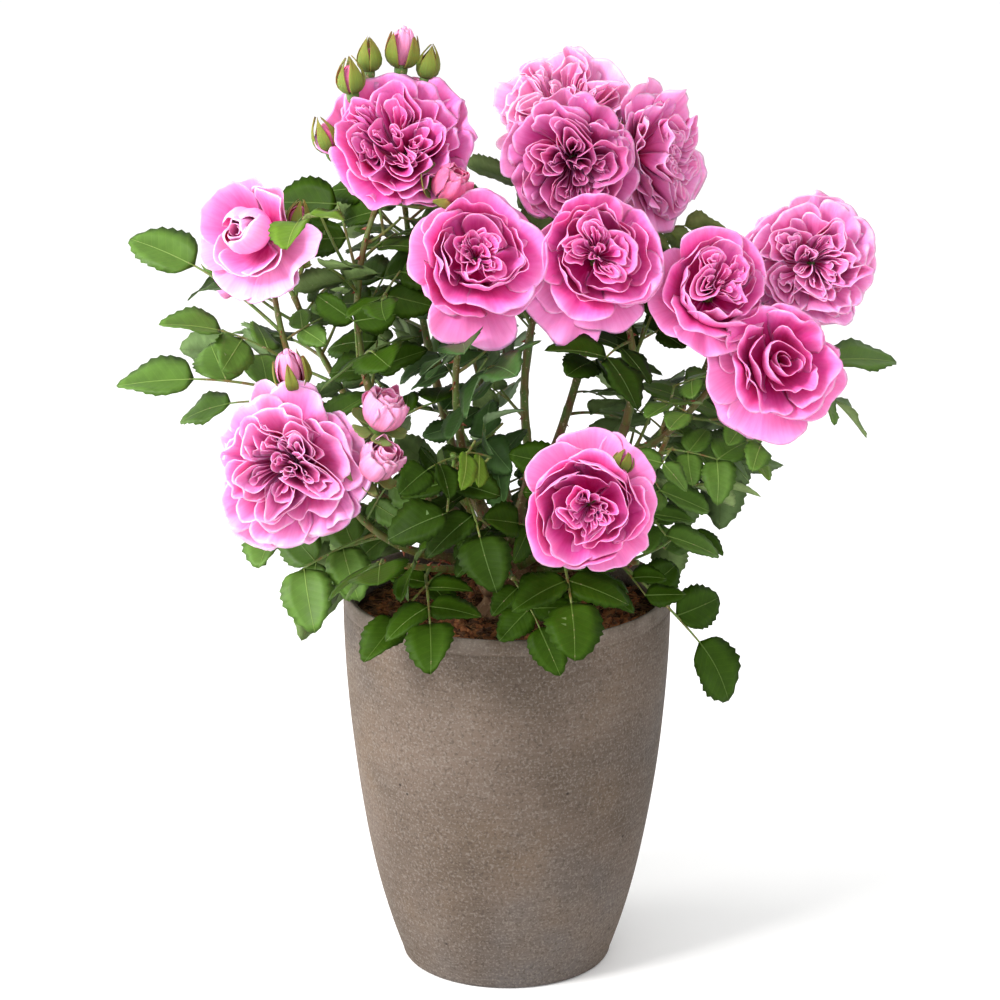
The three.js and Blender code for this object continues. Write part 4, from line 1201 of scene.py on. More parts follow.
# %% Rootstock, canes and stems
SWELLING = {"height": 0.16, "width": 0.07}  # shares of the radius, and of the way from eye to eye
LIMBS = {  # radii at the root and the tip, how far the root is sunk into what carries it, stations and sides
    "cane_bark": ((CANE["root"], CANE["tip"]), 3.0, 60, 16),
    "shoot_stems": ((3.0, 1.7), 2.5, 48, 10),
    "side_twigs": ((1.35, 0.8), 2.0, 12, 7),
    "leaf_stalks": ((1.25, 0.7), 1.5, 14, 6),
    "bloom_stalks": ((1.7, 1.3), 1.0, 20, 8),
    "shoot_tips": ((1.9, 2.4), 3.0, 8, 10),
}
THORN = {"length": (2.6, 5.2), "ends": (1.0, 0.75), "sunk": 0.86, "hook": 0.55, "tall": 0.42, "wide": 0.2,
         "taper": 1.3, "stem": (2.9, 1.7)}


def bark_finish(name, old, young, ridge, share=0.5, rough=0.8):
    finish = Finish(name, rough, Specular_IOR_Level=0.35)
    places = finish.object_places((1, 1, 0.35))
    streaks = finish.cloud(places, 190.0, middle=share, softness=0.45, detail=5.0)
    specks = finish.cloud(finish.object_places(), 520.0, middle=0.66, softness=0.1)
    colour = finish.between(streaks, young, old)
    finish.colour(blend_colours(finish.tree, specks, colour, srgb("#b09a78")))
    finish.bump(finish.grain(places, 330.0), ridge, 0.7)
    return finish.material


def bark_relief(eyes, ridges, depth, seed):
    """A radius share for each point of a tube: swellings at the eyes, and ridges whose places wander."""

    def relief(angle, stations, count):
        draw = np.random.default_rng(seed)
        v = np.linspace(0, 1, stations)[None, :, None]
        phase = draw.uniform(0, 2 * np.pi, (count, 1, 1))
        swell = SWELLING["height"] * np.exp(-((((v * eyes + phase) % 1) - 0.5) / SWELLING["width"]) ** 2)
        lines = depth * np.sin(ridges * angle + 2.2 * np.sin(9 * v + phase) + phase)
        flakes = 0.6 * depth * np.sin((ridges * 2 + 1) * angle + 5 * np.sin(14 * v + 2 * phase))
        return 1 + swell + lines + flakes

    return relief


def knob_relief(angle, radius, height):
    """Burls and ridges on the knob: sums of sines round and up, scaled by the radius."""
    lumps = 0.06 * np.sin(3 * angle + height / 5) + 0.05 * np.sin(5 * angle - height / 3.7 + 1)
    ridges = 0.035 * np.sin(17 * angle + 2 * np.sin(height / 4)) + 0.02 * np.sin(29 * angle + height / 2)
    flaking = 0.8 * np.sin(4 * angle + radius / 3) * (height > SOIL_TOP + 4)
    return radius * (1 + lumps + ridges), height + flaking


def knob_profile():
    """[radius, height]: a flare on the mix, a short neck and a round knob."""
    foot, rows = SOIL_TOP + GAP, 26
    lowest = -math.acos(ROOTSTOCK["neck"] / ROOTSTOCK["knob"])
    angle = np.linspace(lowest, np.pi / 2, rows)
    t = np.linspace(0, 1, 8)[:-1]
    neck = np.stack([ROOTSTOCK["flare"] + (ROOTSTOCK["neck"] - ROOTSTOCK["flare"]) * np.sin(t * np.pi / 2),
                     foot + ROOTSTOCK["neck_height"] * t], 1)
    knob = np.stack([ROOTSTOCK["knob"] * np.cos(angle), KNOB[2] + ROOTSTOCK["knob"] * np.sin(angle)], 1)
    knob[-1, 0] = 0
    return np.concatenate([[[0, foot - 2]], neck, knob])


def add_limbs(name, curves, finish, nodes=(), relief=None, used=None, sizes=1.0):
    """Tapering tubes along curves, as LIMBS has them: each path runs back past its curve's own root, and used
    is the part of each curve that is kept."""
    ends, sunk, stations, sides = LIMBS[name]
    t = np.linspace(0, 1, stations)
    kept = np.ones(len(curves)) if used is None else used
    paths = np.stack([bezier(curve, t * part) for curve, part in zip(curves, kept)])
    paths[:, 0] -= unit(paths[:, 1] - paths[:, 0]) * sunk
    radii = np.broadcast_to(between(ends, t), paths.shape[:2]) * sizes
    add_tubes(name, paths, radii, sides, finish, nodes, relief)


points, faces = turned(knob_profile(), 120, knob_relief)
old_bark = bark_finish("old_bark", "#6d4a30", "#8a6a4a", 0.8)
dress(add_mesh("rootstock_bark", points, faces, [old_bark]), ["rootstock"])

cane_bark = bark_finish("cane_bark", "#6e5130", "#6f7a38", 0.4, 0.42, 0.6)
add_limbs("cane_bark", canes.values(), cane_bark, nodes=CANED, relief=bark_relief(4, 4, 0.03, 21))

STEM_SKIN = bark_finish("stem_skin", "#7a4a2c", "#5d7a30", 0.25, 0.55, 0.5)
stem_curves = [stem["curve"] for stem in stems.values()]
add_limbs("shoot_stems", stem_curves, STEM_SKIN, nodes=LEAFY, relief=bark_relief(6, 3, 0.02, 22))

TWIG_SKIN = bark_finish("twig_skin", "#84502f", "#66853a", 0.15, 0.6, 0.5)
side_twigs = [twig for grown in twigs.values() for twig in grown]
add_limbs("side_twigs", [twig["curve"] for twig in side_twigs], TWIG_SKIN)


def add_thorns():
    """Hooked thorns: a ring shrinks to a point along a path that bends down the cane; the foot is an oval
    twice as tall as it is wide."""
    draw = np.random.default_rng(31)
    roots, outs, downs, sizes = [], [], [], []
    thorny = [(curve, (CANE["root"], CANE["tip"]), 13) for curve in canes.values()]
    thorny += [(curve, THORN["stem"], 9) for curve in stem_curves]
    for curve, ends, count in thorny:
        for part in draw.uniform(0.06, 0.94, count):
            ahead, side, front = square(tangent(curve, part), besides(curve))
            turn = draw.uniform(0, 2 * np.pi)
            out = side * np.cos(turn) + front * np.sin(turn)
            roots.append(bezier(curve, part) + out * (between(ends, part) * THORN["sunk"]))
            outs.append(out)
            downs.append(-ahead)
            sizes.append(draw.uniform(*THORN["length"]) * between(THORN["ends"], part))
    roots, outs, downs = np.array(roots), np.array(outs), np.array(downs)
    t = np.linspace(0, 1, 5)[None, :, None]
    size = np.array(sizes)[:, None, None]
    paths = roots[:, None] + outs[:, None] * size * t + downs[:, None] * size * THORN["hook"] * t ** 2
    across = unit(np.cross(outs, downs))[:, None, None]
    angle = np.arange(6)[:, None] * np.pi / 3
    oval = np.cos(angle) * downs[:, None, None] * THORN["tall"] + np.sin(angle) * across * THORN["wide"]
    shrink = (1 - t) ** THORN["taper"] * size
    body = (paths[:, :-1, None] + oval * shrink[:, :-1, :, None]).reshape(len(roots), -1, 3)
    shape = np.concatenate([body, paths[:, :1], paths[:, -1:]], 1)
    faces = [many(part, len(roots), 26) for part in capped(4, 6)]
    finish = bark_finish("thorn", "#8c3b2c", "#a35a3a", 0.1, 0.5, 0.45)
    dress(add_mesh("thorns", shape.reshape(-1, 3), faces, [finish]))


add_thorns()

# %% [markdown]
# ## Leaves
# A rose leaf has a stalk, two pairs of oval leaflets and one at its end. Each leaflet is toothed, folds a
# little along its rib, hangs at its tip and is quilted between its veins; it is dark and slightly glossy
# above, and pale and matte below. An outline cut from a flat card would look like paper, so the leaflet is
# worked out as a small grid: a rib, a middle line and a toothed edge on each side, and a lower skin a hair
# below. The veins are part of the finish, drawn from the leaflet's own UV map, and the rib is a thin tube
# that shows on both faces.

# %% Leaves
RIB_STATIONS, RIB_ENDS = 8, (0.62, 0.2)
BLADE = {"rise": 0.54, "fall": 0.78, "tooth": 0.015, "forward": 0.02, "last": 0.985, "middle": 0.52,
         "rib": -0.008, "quilt": 0.01, "thick": 0.55, "wide": 1.14, "uv_half": 0.4}


def blade_faces():
    """The faces of one leaflet. Points 0 and 1 are its foot and tip; then come the rib, the left and right
    middle lines, the left and right edges, and the lower rib. An edge has two points to each rib station."""
    inner, edge = RIB_STATIONS - 1, 2 * RIB_STATIONS - 1
    rib = [0] + list(range(2, 2 + inner)) + [1]
    under = [0] + list(range(2 + 3 * inner + 2 * edge, 2 + 4 * inner + 2 * edge)) + [1]
    quads, upper, lower = [], [], []
    for side in (0, 1):
        middle = [0] + list(range(2 + inner * (1 + side), 2 + inner * (2 + side))) + [1]
        first = 2 + 3 * inner + edge * side
        rim = [0] + list(range(first, first + edge)) + [1]
        flip = (lambda face: face[::-1]) if side else (lambda face: face)
        for k in range(RIB_STATIONS):
            a, b, c, d = rib[k], rib[k + 1], middle[k + 1], middle[k]
            if 0 < k < RIB_STATIONS - 1:
                quads.append(flip([a, b, c, d]))
            else:
                upper.append(flip([a, b, c] if k == 0 else [a, b, d]))
            for line, faces, turn in ((middle, upper, False), (under, lower, True)):
                fan = [(line[k], rim[2 * k + 1], line[k + 1]), (line[k], rim[2 * k], rim[2 * k + 1]),
                       (line[k + 1], rim[2 * k + 1], rim[2 * k + 2])]
                for p, q, r in fan:
                    if len({p, q, r}) == 3:
                        face = [p, r, q]
                        faces.append(flip(face[::-1] if turn else face))
    return np.array(quads), np.array(upper), np.array(lower)


def blade_width(along):
    """Half the width at a share of the length: a rise and a fall by powers, scaled so that its peak is 1."""
    rise, fall = BLADE["rise"], BLADE["fall"]
    peak = rise / (rise + fall)
    return (along / peak) ** rise * ((1 - along) / (1 - peak)) ** fall


def leaflet_points(leaflets, seed):
    """All leaflets' points, and their UV, as arrays."""
    draw, count = np.random.default_rng(seed), len(leaflets)
    k = np.arange(1, RIB_STATIONS) / RIB_STATIONS
    m = np.arange(1, 2 * RIB_STATIONS)
    tooth = (m % 2) * 2 - 1
    rim_along = np.minimum(m / (2 * RIB_STATIONS) + BLADE["forward"] * (tooth > 0), BLADE["last"])
    rim_width = LEAF["half_width"] * blade_width(m / (2 * RIB_STATIONS))
    rim_width = rim_width + BLADE["tooth"] * tooth * np.sin(np.pi * m / (2 * RIB_STATIONS))
    mid_width = LEAF["half_width"] * blade_width(k) * BLADE["middle"]
    along = np.concatenate([[0, 1], k, k, k, rim_along, rim_along, k])
    across = np.concatenate([[0, 0], 0 * k, mid_width, -mid_width, rim_width, -rim_width, 0 * k])
    raised = BLADE["quilt"] + 0 * k
    quilt = np.concatenate([[0, 0], BLADE["rib"] + 0 * k, raised, raised, 0 * m, 0 * m, 0 * k])
    below = np.concatenate([np.zeros(2 + 3 * len(k) + 2 * len(m)), np.ones(len(k))])
    uv = np.stack([0.5 + across / (2 * BLADE["uv_half"]), along], 1)

    def varied(middle, spread):
        return draw.normal(middle, spread, count)[:, None]

    fold, sag, wave = varied(0.22, 0.13), varied(LEAF["sag"] + 0.03, 0.08), varied(0.07, 0.04)
    sway, twist = varied(0.0, 0.05), varied(0.0, 0.35)
    phase, wide = draw.uniform(0, 2 * np.pi, (count, 1)), varied(BLADE["wide"], 0.06)
    x = along + 0 * fold
    y = across * wide + sway * along ** 2
    lift = fold * np.abs(across) - sag * along ** 2 + quilt
    lift = lift + wave * np.abs(across) * np.sin(11 * along + phase + 2 * np.sign(across))
    lift = lift + twist * across * (along - 0.3)
    length = np.array([leaflet["length"] for leaflet in leaflets])[:, None, None]
    foot = np.array([leaflet["foot"] for leaflet in leaflets])[:, None]
    axes = np.array([leaflet["axes"] for leaflet in leaflets])
    local = np.stack([x, y, lift], -1) * length
    local[..., 2] -= BLADE["thick"] * below
    return foot + np.einsum("nij,njk->nik", local, axes), np.tile(uv, (count, 1))


def vein_mask(finish):
    """Side veins: lines at a fixed pitch along the blade, which run forward as they near the edge."""
    tree = finish.tree
    across, along, _ = node(tree, "SeparateXYZ", {0: finish.surface_places()}).outputs
    aside = calculate(tree, "ABSOLUTE", calculate(tree, "SUBTRACT", across, 0.5))
    run = calculate(tree, "MULTIPLY_ADD", aside, -0.62, along)
    beat = calculate(tree, "PINGPONG", calculate(tree, "MULTIPLY", run, 9.0), 0.5)
    return mapped(tree, beat, 0.05, 0.0), beat


def leaf_finish(name, plain, vein, roughness, gloss, quilt):
    finish = Finish(name, roughness, Specular_IOR_Level=gloss)
    line, beat = vein_mask(finish)
    places = finish.surface_places()
    patches = finish.cloud(places, 5.0, softness=0.6)
    darker = tuple(0.72 * share for share in srgb(plain)[:3]) + (1.0,)
    colour = blend_colours(finish.tree, patches, darker, srgb(plain))
    finish.colour(finish.over(colour, line, 0.25, vein))
    finish.roughness(patches, roughness - 0.05, roughness + 0.08)
    finish.bump(beat, quilt, 0.5)
    finish.bump(finish.grain(places, 60.0), 0.05, 0.4)
    return finish.material


# painted shade and light: deep is a shaded copy of the green, for shoots inside and at the back of the crown,
# and the yellow-green tone a lit copy, for shoots at its outer sides
TONES = {  # the upper side, its veins, the lower side, and the gloss
    "deep": ("#2c440a", "#46621c", "#6a8450", 0.06),
    "mid": ("#365408", "#54721e", "#768f54", 0.08),
    "lit_green": ("#5e8430", "#7c9c44", "#98b070", 0.2),
    "blue": ("#44682e", "#648a4c", "#8ca878", 0.22),
    "young": ("#6c9028", "#98b048", "#a4b86c", 0.12),
}


def leaves_of(tone):
    """The leaves that wear a tone: each shoot's own, and those on twigs, of which every fourth is young."""
    own = [leaf for shoot in SHOOTS if shoot["tone"] == tone for leaf in masses[shoot["name"]]]
    for shoot in SHOOTS:
        small = [leaf for twig in twigs[shoot["name"]] for leaf in twig["leaves"]]
        own += [leaf for i, leaf in enumerate(small) if ("young" if i % 4 == 3 else shoot["tone"]) == tone]
    return own


def add_leaves():
    """Every leaflet and its rib, a thin tube through the blade from its foot to its tip, joined by tone."""
    skins, total = blade_faces(), 0
    each = 2 + 4 * (RIB_STATIONS - 1) + 2 * (2 * RIB_STATIONS - 1)
    rib = np.concatenate([[0], np.arange(2, 1 + RIB_STATIONS), [1]])
    for number, (tone, (plain, vein, under, gloss)) in enumerate(TONES.items()):
        leaflets = [leaflet for leaf in leaves_of(tone) for leaflet in leaf["leaflets"]]
        shape, uv = leaflet_points(leaflets, 40 + number)
        faces = [many(part, len(leaflets), each) for part in skins]
        finishes = [leaf_finish(f"leaf_{tone}", plain, vein, 0.5, gloss, 0.25),
                    leaf_finish(f"leaf_{tone}_under", under, plain, 0.75, 0.1, 0.4)]
        piece = add_mesh(f"leaves_{tone}", shape.reshape(-1, 3), faces, finishes, wears=[0, 0, 1], uv=uv)
        dress(piece)
        taper = np.broadcast_to(np.linspace(*RIB_ENDS, len(rib)), (len(leaflets), len(rib)))
        finish = bark_finish(f"rib_{tone}", vein, vein, 0.05, 0.5, 0.55)
        add_tubes(f"ribs_{tone}", shape[:, rib], taper, 4, finish)
        total += len(leaflets)
    print("leaflets in all:", total)


add_leaves()
all_leaves = [leaf for mass in masses.values() for leaf in mass]
all_leaves += [leaf for twig in side_twigs for leaf in twig["leaves"]]
sizes = np.clip([[leaf["scale"]] for leaf in all_leaves], 0.6, 1.0)
used = [max(leaflet["part"] for leaflet in leaf["leaflets"]) for leaf in all_leaves]
add_limbs("leaf_stalks", [leaf["curve"] for leaf in all_leaves], TWIG_SKIN, used=used, sizes=sizes)

# %% [markdown]
# ## Petals
# Old-fashioned garden roses have sixty petals or more. The outer ones, the guards, spread flat or bend back
# and are pale; inside them are rings of cupped petals; the middle is quartered, which means that small
# petals lie folded into each other in four or five packs round the eye. A petal could be sculpted once and
# copied, but then every bloom would look alike. So each petal is one surface of two parameters, u across
# and v from claw to rim: its profile in the plane through the bloom's axis is a cubic curve, u turns that
# profile round an axis, and waves that grow towards the rim ruffle it along its own normal. For a pack in
# the middle, the axis that u turns round leans outwards, so that the petals nest round the pack and open to
# the eye.

# %% Petals
PETAL = {"rows": 9, "columns": 21, "thick": 0.42, "share": 0.95, "crimp": 0.026}
OUTER, GUARD, HEART = 0, 1, 2


def layer(draw, turns, wrap, radial, axial, away=0.0, stretch=1.0, skew=0.0, ruffle=0.04, waves=2.0,
          corner=0.25, notch=0.03, ragged=0.02, point=0.0, shift=0.08, uneven=0.05, wear=0):
    """Petals that share a profile: radial and axial hold its four control points, as shares of the bloom's
    radius, each drawn a little larger or smaller. skew lifts one side of each petal over its neighbour.
    wear is the pair of finishes that they take."""
    count = len(turns)

    def varied(value, spread):
        return np.broadcast_to(value, (count,)) + draw.normal(0, spread, count)

    radial = np.broadcast_to(radial, (count, 4)) * varied(1.0, uneven)[:, None]
    radial = radial * (1 + np.array([0, 0, 0.4, 1.0]) * varied(0.0, uneven)[:, None])
    axial = np.broadcast_to(axial, (count, 4)) + np.array([0, 0.1, 0.5, 1.0]) * varied(0.0, uneven)[:, None]
    turns = np.asarray(turns, float)
    return {"turn": turns + draw.normal(0, shift, count), "bow": turns, "wrap": varied(wrap, 0.06),
            "radial": radial, "axial": axial, "away": varied(away, 0.0), "stretch": varied(stretch, 0.0),
            "skew": varied(skew, 0.02), "ruffle": varied(ruffle, ruffle * 0.3), "waves": varied(waves, 0.3),
            "phase": draw.uniform(0, 2 * np.pi, (count, 4)), "corner": varied(corner, 0.05),
            "notch": varied(notch, 0.015), "ragged": varied(ragged, 0.0), "point": varied(point, 0.0),
            "wear": np.full(count, wear)}


def joined(layers):
    """Layers of petals as one."""
    return {key: np.concatenate([part[key] for part in layers]) for key in layers[0]}


def petal_grid(p):
    """Every petal's points, (petals, rows, columns, 3), in the bloom's own frame with its axis along Z. The
    profile gives r and z at a share of the way to the rim; the rim falls back at the corners and in the
    middle; ripples move a point along the profile's normal; u turns it round an axis that leans out."""
    u = np.linspace(-1, 1, PETAL["columns"])
    v = (1 - (1 - np.linspace(0, 1, PETAL["rows"])) ** 1.3)[None, :, None]

    def each(key):
        return p[key][:, None, None]

    phase = p["phase"][:, :, None, None]
    frayed = each("ragged") * (np.sin(6.5 * u + phase[:, 3]) + 0.5 * np.sin(11 * u + phase[:, 2]))
    reach = v * (1 - each("corner") * np.abs(u) ** 3 - frayed * v ** 5)
    reach = np.clip(reach - each("notch") * np.exp(-(u / 0.22) ** 2) * v ** 4, 0, 1)
    weights = [math.comb(3, i) * reach ** i * (1 - reach) ** (3 - i) for i in range(4)]
    slopes = [-3 * (1 - reach) ** 2, 3 * (1 - reach) ** 2 - 6 * reach * (1 - reach),
              6 * reach * (1 - reach) - 3 * reach ** 2, 3 * reach ** 2]
    (r, dr), (z, dz) = ([sum(w * p[way][:, i, None, None] for i, w in enumerate(terms))
                         for terms in (weights, slopes)] for way in ("radial", "axial"))
    steep = np.sqrt(dr ** 2 + dz ** 2) + 1e-9
    span = each("waves") * np.pi * u
    ripple = (np.sin(span + phase[:, 0]) + 0.6 * np.sin(1.9 * span + phase[:, 1])
              + 0.2 * np.sin(3.1 * span + phase[:, 2])) * each("ruffle") * reach ** 1.6
    r = (r - ripple * dz / steep) * (1 + each("skew") * u * np.sqrt(reach))
    z = z + ripple * dr / steep
    angle = u * each("wrap") * (1 - each("point") * v ** 3) * (0.6 + 0.4 * np.sqrt(reach))
    angle = angle + each("turn") - each("bow")
    ahead = each("away") * np.sin(reach * np.pi / 2) + each("stretch") * r * np.cos(angle)
    aside = r * np.sin(angle)
    cos, sin = np.cos(each("bow")), np.sin(each("bow"))
    return np.stack([ahead * cos - aside * sin, ahead * sin + aside * cos, z + 0 * ahead], -1)


def warped(grid, draw, strength):
    """The whole bloom bent by slow waves, crimped by short ones and swirled a little about its axis, so that
    nested petals stay nested but no ring is round."""
    a, b, c, d, e = draw.uniform(0, 2 * np.pi, 5)
    x, y, z = grid[..., 0], grid[..., 1], grid[..., 2]
    high = np.clip(z + 0.55, 0, 1)
    radius = np.hypot(x, y)
    near = np.clip(1.1 - radius, 0, 1)
    swirl = strength * 3.5 * np.sin(4.2 * radius + d) * high * near
    x, y = x * np.cos(swirl) - y * np.sin(swirl), x * np.sin(swirl) + y * np.cos(swirl)
    lean = strength * 1.2 * high * np.clip(1 - radius, 0, 1)
    x = x + strength * np.sin(3.4 * y + a) * high + lean * np.cos(e)
    y = y + strength * np.sin(3.1 * x + b) * high + lean * np.sin(e)
    z = z + strength * 0.9 * np.sin(2.9 * (x - y) + c) * high
    crimp = PETAL["crimp"] * high ** 2
    x = x + crimp * (np.sin(10.3 * y + 4 * z + a) + 0.6 * np.sin(19 * y - 7 * x + c))
    y = y + crimp * (np.sin(9.7 * x - 3 * z + b) + 0.6 * np.sin(17 * x + 8 * y + d))
    z = z + crimp * 0.9 * np.sin(8.1 * x + 7.3 * y + e)
    return np.stack([x, y, z], -1)


def even(draw, count):
    """Azimuths evenly round, from a drawn first one."""
    return draw.uniform(0, 2 * np.pi) + np.arange(count) * 2 * np.pi / count


def packs(draw, count, folds, away, widest, top, stretch, hollow=0.0, ruffle=0.05, flare=0.06):
    """The quartered middle: packs of petals folded round each other like the letter U, open to the eye. flare
    is how far each rim rolls out."""
    made = []
    for bow in even(draw, count) + draw.normal(0, 0.16, count):
        far, size = away * draw.uniform(0.8, 1.15), widest * draw.uniform(0.85, 1.2)
        for k in range(folds):
            r = size * (k + 0.5) / (folds - 0.5)
            rim = top - hollow * (1 - k / folds) + draw.normal(0, 0.04)
            made.append(layer(draw, [bow], draw.uniform(1.6, 2.25), (0.02, 0.7 * r, 0.9 * r, r + flare),
                              (-0.42, -0.15, rim - 0.08, rim), away=far,
                              stretch=stretch * draw.uniform(0.9, 1.15),
                              ruffle=ruffle * (0.5 + 0.6 * k / folds), waves=draw.uniform(0.9, 1.6),
                              corner=0.2, ragged=0.01, shift=0.16, uneven=0.04, wear=HEART))
    return made


def guards(draw, places, base, wrap=0.66):
    """Guard petals: broad, pale and bent back. places holds each one's azimuth in degrees and its reach."""
    made = []
    for azimuth, reach in places:
        radial = (0.07, 0.5 * reach, 0.9 * reach, reach)
        axial = (base, base - 0.02, base + 0.3, base + 0.4 - 0.5 * (reach - 1))
        made.append(layer(draw, [math.radians(azimuth)], wrap, radial, axial, ruffle=0.075, waves=1.4,
                          corner=0.42, notch=0.05, skew=0.04, ragged=0.035, wear=GUARD))
    return made


def ring(draw, count, wrap, radial, axial, **rest):
    """Petals evenly round, each with one side over its neighbour."""
    shape = {"skew": 0.09, "corner": 0.42, "notch": 0.04, "uneven": 0.07, "shift": 0.14, "waves": 1.6}
    return layer(draw, even(draw, count), wrap, radial, axial, **{**shape, **rest})


def rosette(draw, base, places):
    """A fully open bloom: ruffled rings, low outside and high inside, round five packs of folded petals."""
    rings = [ring(draw, 7, 0.66, (0.06, 0.5, 0.85, 1.02), (base, base + 0.05, -0.05, -0.07), ruffle=0.08),
             ring(draw, 7, 0.64, (0.06, 0.45, 0.78, 0.94), (base, base + 0.1, 0.06, 0.1), ruffle=0.08),
             ring(draw, 5, 0.8, (0.06, 0.4, 0.7, 0.84), (base, base + 0.14, 0.12, 0.22), ruffle=0.06)]
    middle = packs(draw, 5, 5, 0.36, 0.27, 0.35, 1.35, ruffle=0.07, flare=0.04)
    eye = packs(draw, 2, 3, 0.08, 0.13, 0.32, 1.0, flare=0.03)
    return joined(guards(draw, places, base) + rings + middle + eye), 0.09


def cups(draw, base, sizes, ruffle=0.04):
    """Deep cups inside each other, each [petals, half angle, radius, height] of the rims."""
    return [ring(draw, count, wrap, (0.06, 0.98 * r, r, r), (base, base + 0.1, high - 0.25, high),
                 ruffle=ruffle) for count, wrap, r, high in sizes]


def cupped(draw, base, places):
    """A bloom three quarters open: a pale collar, deep cups with gaps between, a small quartered middle."""
    collar = ring(draw, 5, 0.9, (0.07, 0.7, 0.84, 1.02), (base, base + 0.04, 0.02, 0.05), ruffle=0.05)
    walls = cups(draw, base, ((5, 0.88, 0.8, 0.24), (4, 1.0, 0.68, 0.31), (4, 0.98, 0.55, 0.3)))
    middle = packs(draw, 4, 4, 0.21, 0.19, 0.26, 1.15, hollow=0.08, ruffle=0.06, flare=0.03)
    eye = packs(draw, 1, 2, 0.04, 0.08, 0.12, 1.0, flare=0.03)
    return joined(guards(draw, places, base, 0.72) + [collar] + walls + middle + eye), 0.09


def quartered(draw, base, places):
    """A cup that is nearly filled by its quartered middle."""
    collar = ring(draw, 5, 0.9, (0.07, 0.7, 0.86, 1.0), (base, base + 0.04, 0.04, 0.08), ruffle=0.05)
    walls = cups(draw, base, ((5, 0.88, 0.82, 0.22), (5, 0.86, 0.7, 0.3)))
    middle = packs(draw, 4, 4, 0.3, 0.25, 0.34, 1.2, hollow=0.05, ruffle=0.055)
    eye = packs(draw, 2, 2, 0.06, 0.1, 0.24, 1.0, flare=0.04)
    return joined(guards(draw, places, base, 0.72) + [collar] + walls + middle + eye), 0.09


def goblet(draw, base, places):
    """A young bloom: few large petals with rims rolled out, round a deep hollow with a scrolled heart."""
    collar = [ring(draw, 5, 0.92, (0.07, 0.74, 0.8, 1.04), (base, base + 0.02, 0.06, 0.06), ruffle=0.055),
              ring(draw, 4, 1.05, (0.06, 0.7, 0.7, 0.84), (base, base + 0.06, 0.14, 0.28), ruffle=0.055)]
    walls = cups(draw, base, ((3, 1.3, 0.54, 0.31),), 0.055)
    heart = scroll_of(draw, 5, 0.08, 0.34, 0.1, 0.2, 1.0)
    return joined(guards(draw, places, base, 0.74) + collar + walls + heart), 0.08


def scroll_of(draw, count, least, most, low, high, close):
    """Petals rolled round each other like a bud: each wraps most of the way round, the outer ones less. close
    is the radius at the rim against the widest."""
    made = []
    for k in range(count):
        share = k / (count - 1)
        r, rim = least + (most - least) * share, low + (high - low) * (1 - (1 - share) ** 2)
        end = r * (close + (1 - close) * (1 - share) ** 2)
        made.append(layer(draw, [2.4 * k], 2.6 - 1.1 * share, (0.05, 1.15 * r, 1.25 * r, end),
                          (-0.5, -0.34, rim - 0.16, rim), skew=0.1, ruffle=0.012 + 0.015 * share, waves=1.2,
                          corner=0.3, notch=0.02, shift=0.2, uneven=0.03,
                          wear=OUTER if share > 0.7 else HEART))
    return made


def scroll(draw, base, places):
    """A half-open bloom: a round bud with a scrolled mouth in a few wide spread guards."""
    rings = [ring(draw, 4, 0.95, (0.06, 0.66, 0.84, 1.02), (base, base + 0.02, -0.1, -0.02), ruffle=0.06,
                  wear=GUARD),
             ring(draw, 3, 1.05, (0.06, 0.6, 0.74, 0.88), (base, base + 0.06, 0.06, 0.2), ruffle=0.05)]
    heart = scroll_of(draw, 7, 0.07, 0.48, 0.5, 0.44, 0.38)
    return joined(guards(draw, places, base, 0.74) + rings + heart), 0.06


FORMS = {"rosette": rosette, "cupped": cupped, "quartered": quartered, "goblet": goblet, "scroll": scroll}
EVEN_GUARDS = ((20, 1.08), (92, 1.05), (164, 1.08), (236, 1.1), (308, 1.06))


def petal_template():
    """Faces of one petal: an upper and a lower skin that share the rim, so that it closes like a lens."""
    rows, columns = PETAL["rows"], PETAL["columns"]
    upper = grid_faces(rows, columns)
    number = np.arange(rows * columns).reshape(rows, columns)
    inner = np.arange((rows - 2) * (columns - 2)).reshape(rows - 2, columns - 2) + rows * columns
    number[1:-1, 1:-1] = inner
    return upper, number.ravel()[upper][:, ::-1]


def petal_skins(grid, thick):
    """Both skins of each petal: the grid moved half the thickness to each side along its normals, but for its
    rim, which both skins share."""
    across = np.gradient(grid, axis=2)
    along = np.gradient(grid, axis=1)
    half = unit(np.cross(across, along)) * thick / 2
    half[:, [0, -1]] = 0
    half[:, :, [0, -1]] = 0
    upper = (grid + half).reshape(len(grid), -1, 3)
    lower = (grid - half)[:, 1:-1, 1:-1].reshape(len(grid), -1, 3)
    return np.concatenate([upper, lower], 1)


def petal_uv():
    v, u = np.meshgrid(np.linspace(0, 1, PETAL["rows"]), np.linspace(0, 1, PETAL["columns"]), indexing="ij")
    whole = np.stack([u, v], -1)
    return np.concatenate([whole.reshape(-1, 2), whole[1:-1, 1:-1].reshape(-1, 2)])


def stand(grid, centre, facing, scale, reference=UP):
    """A bloom's points placed: its own Z along facing, its X to the right as one looks at its face."""
    ahead, side, front = square(facing, reference)
    return centre + (grid @ np.array([side, front, ahead])) * scale


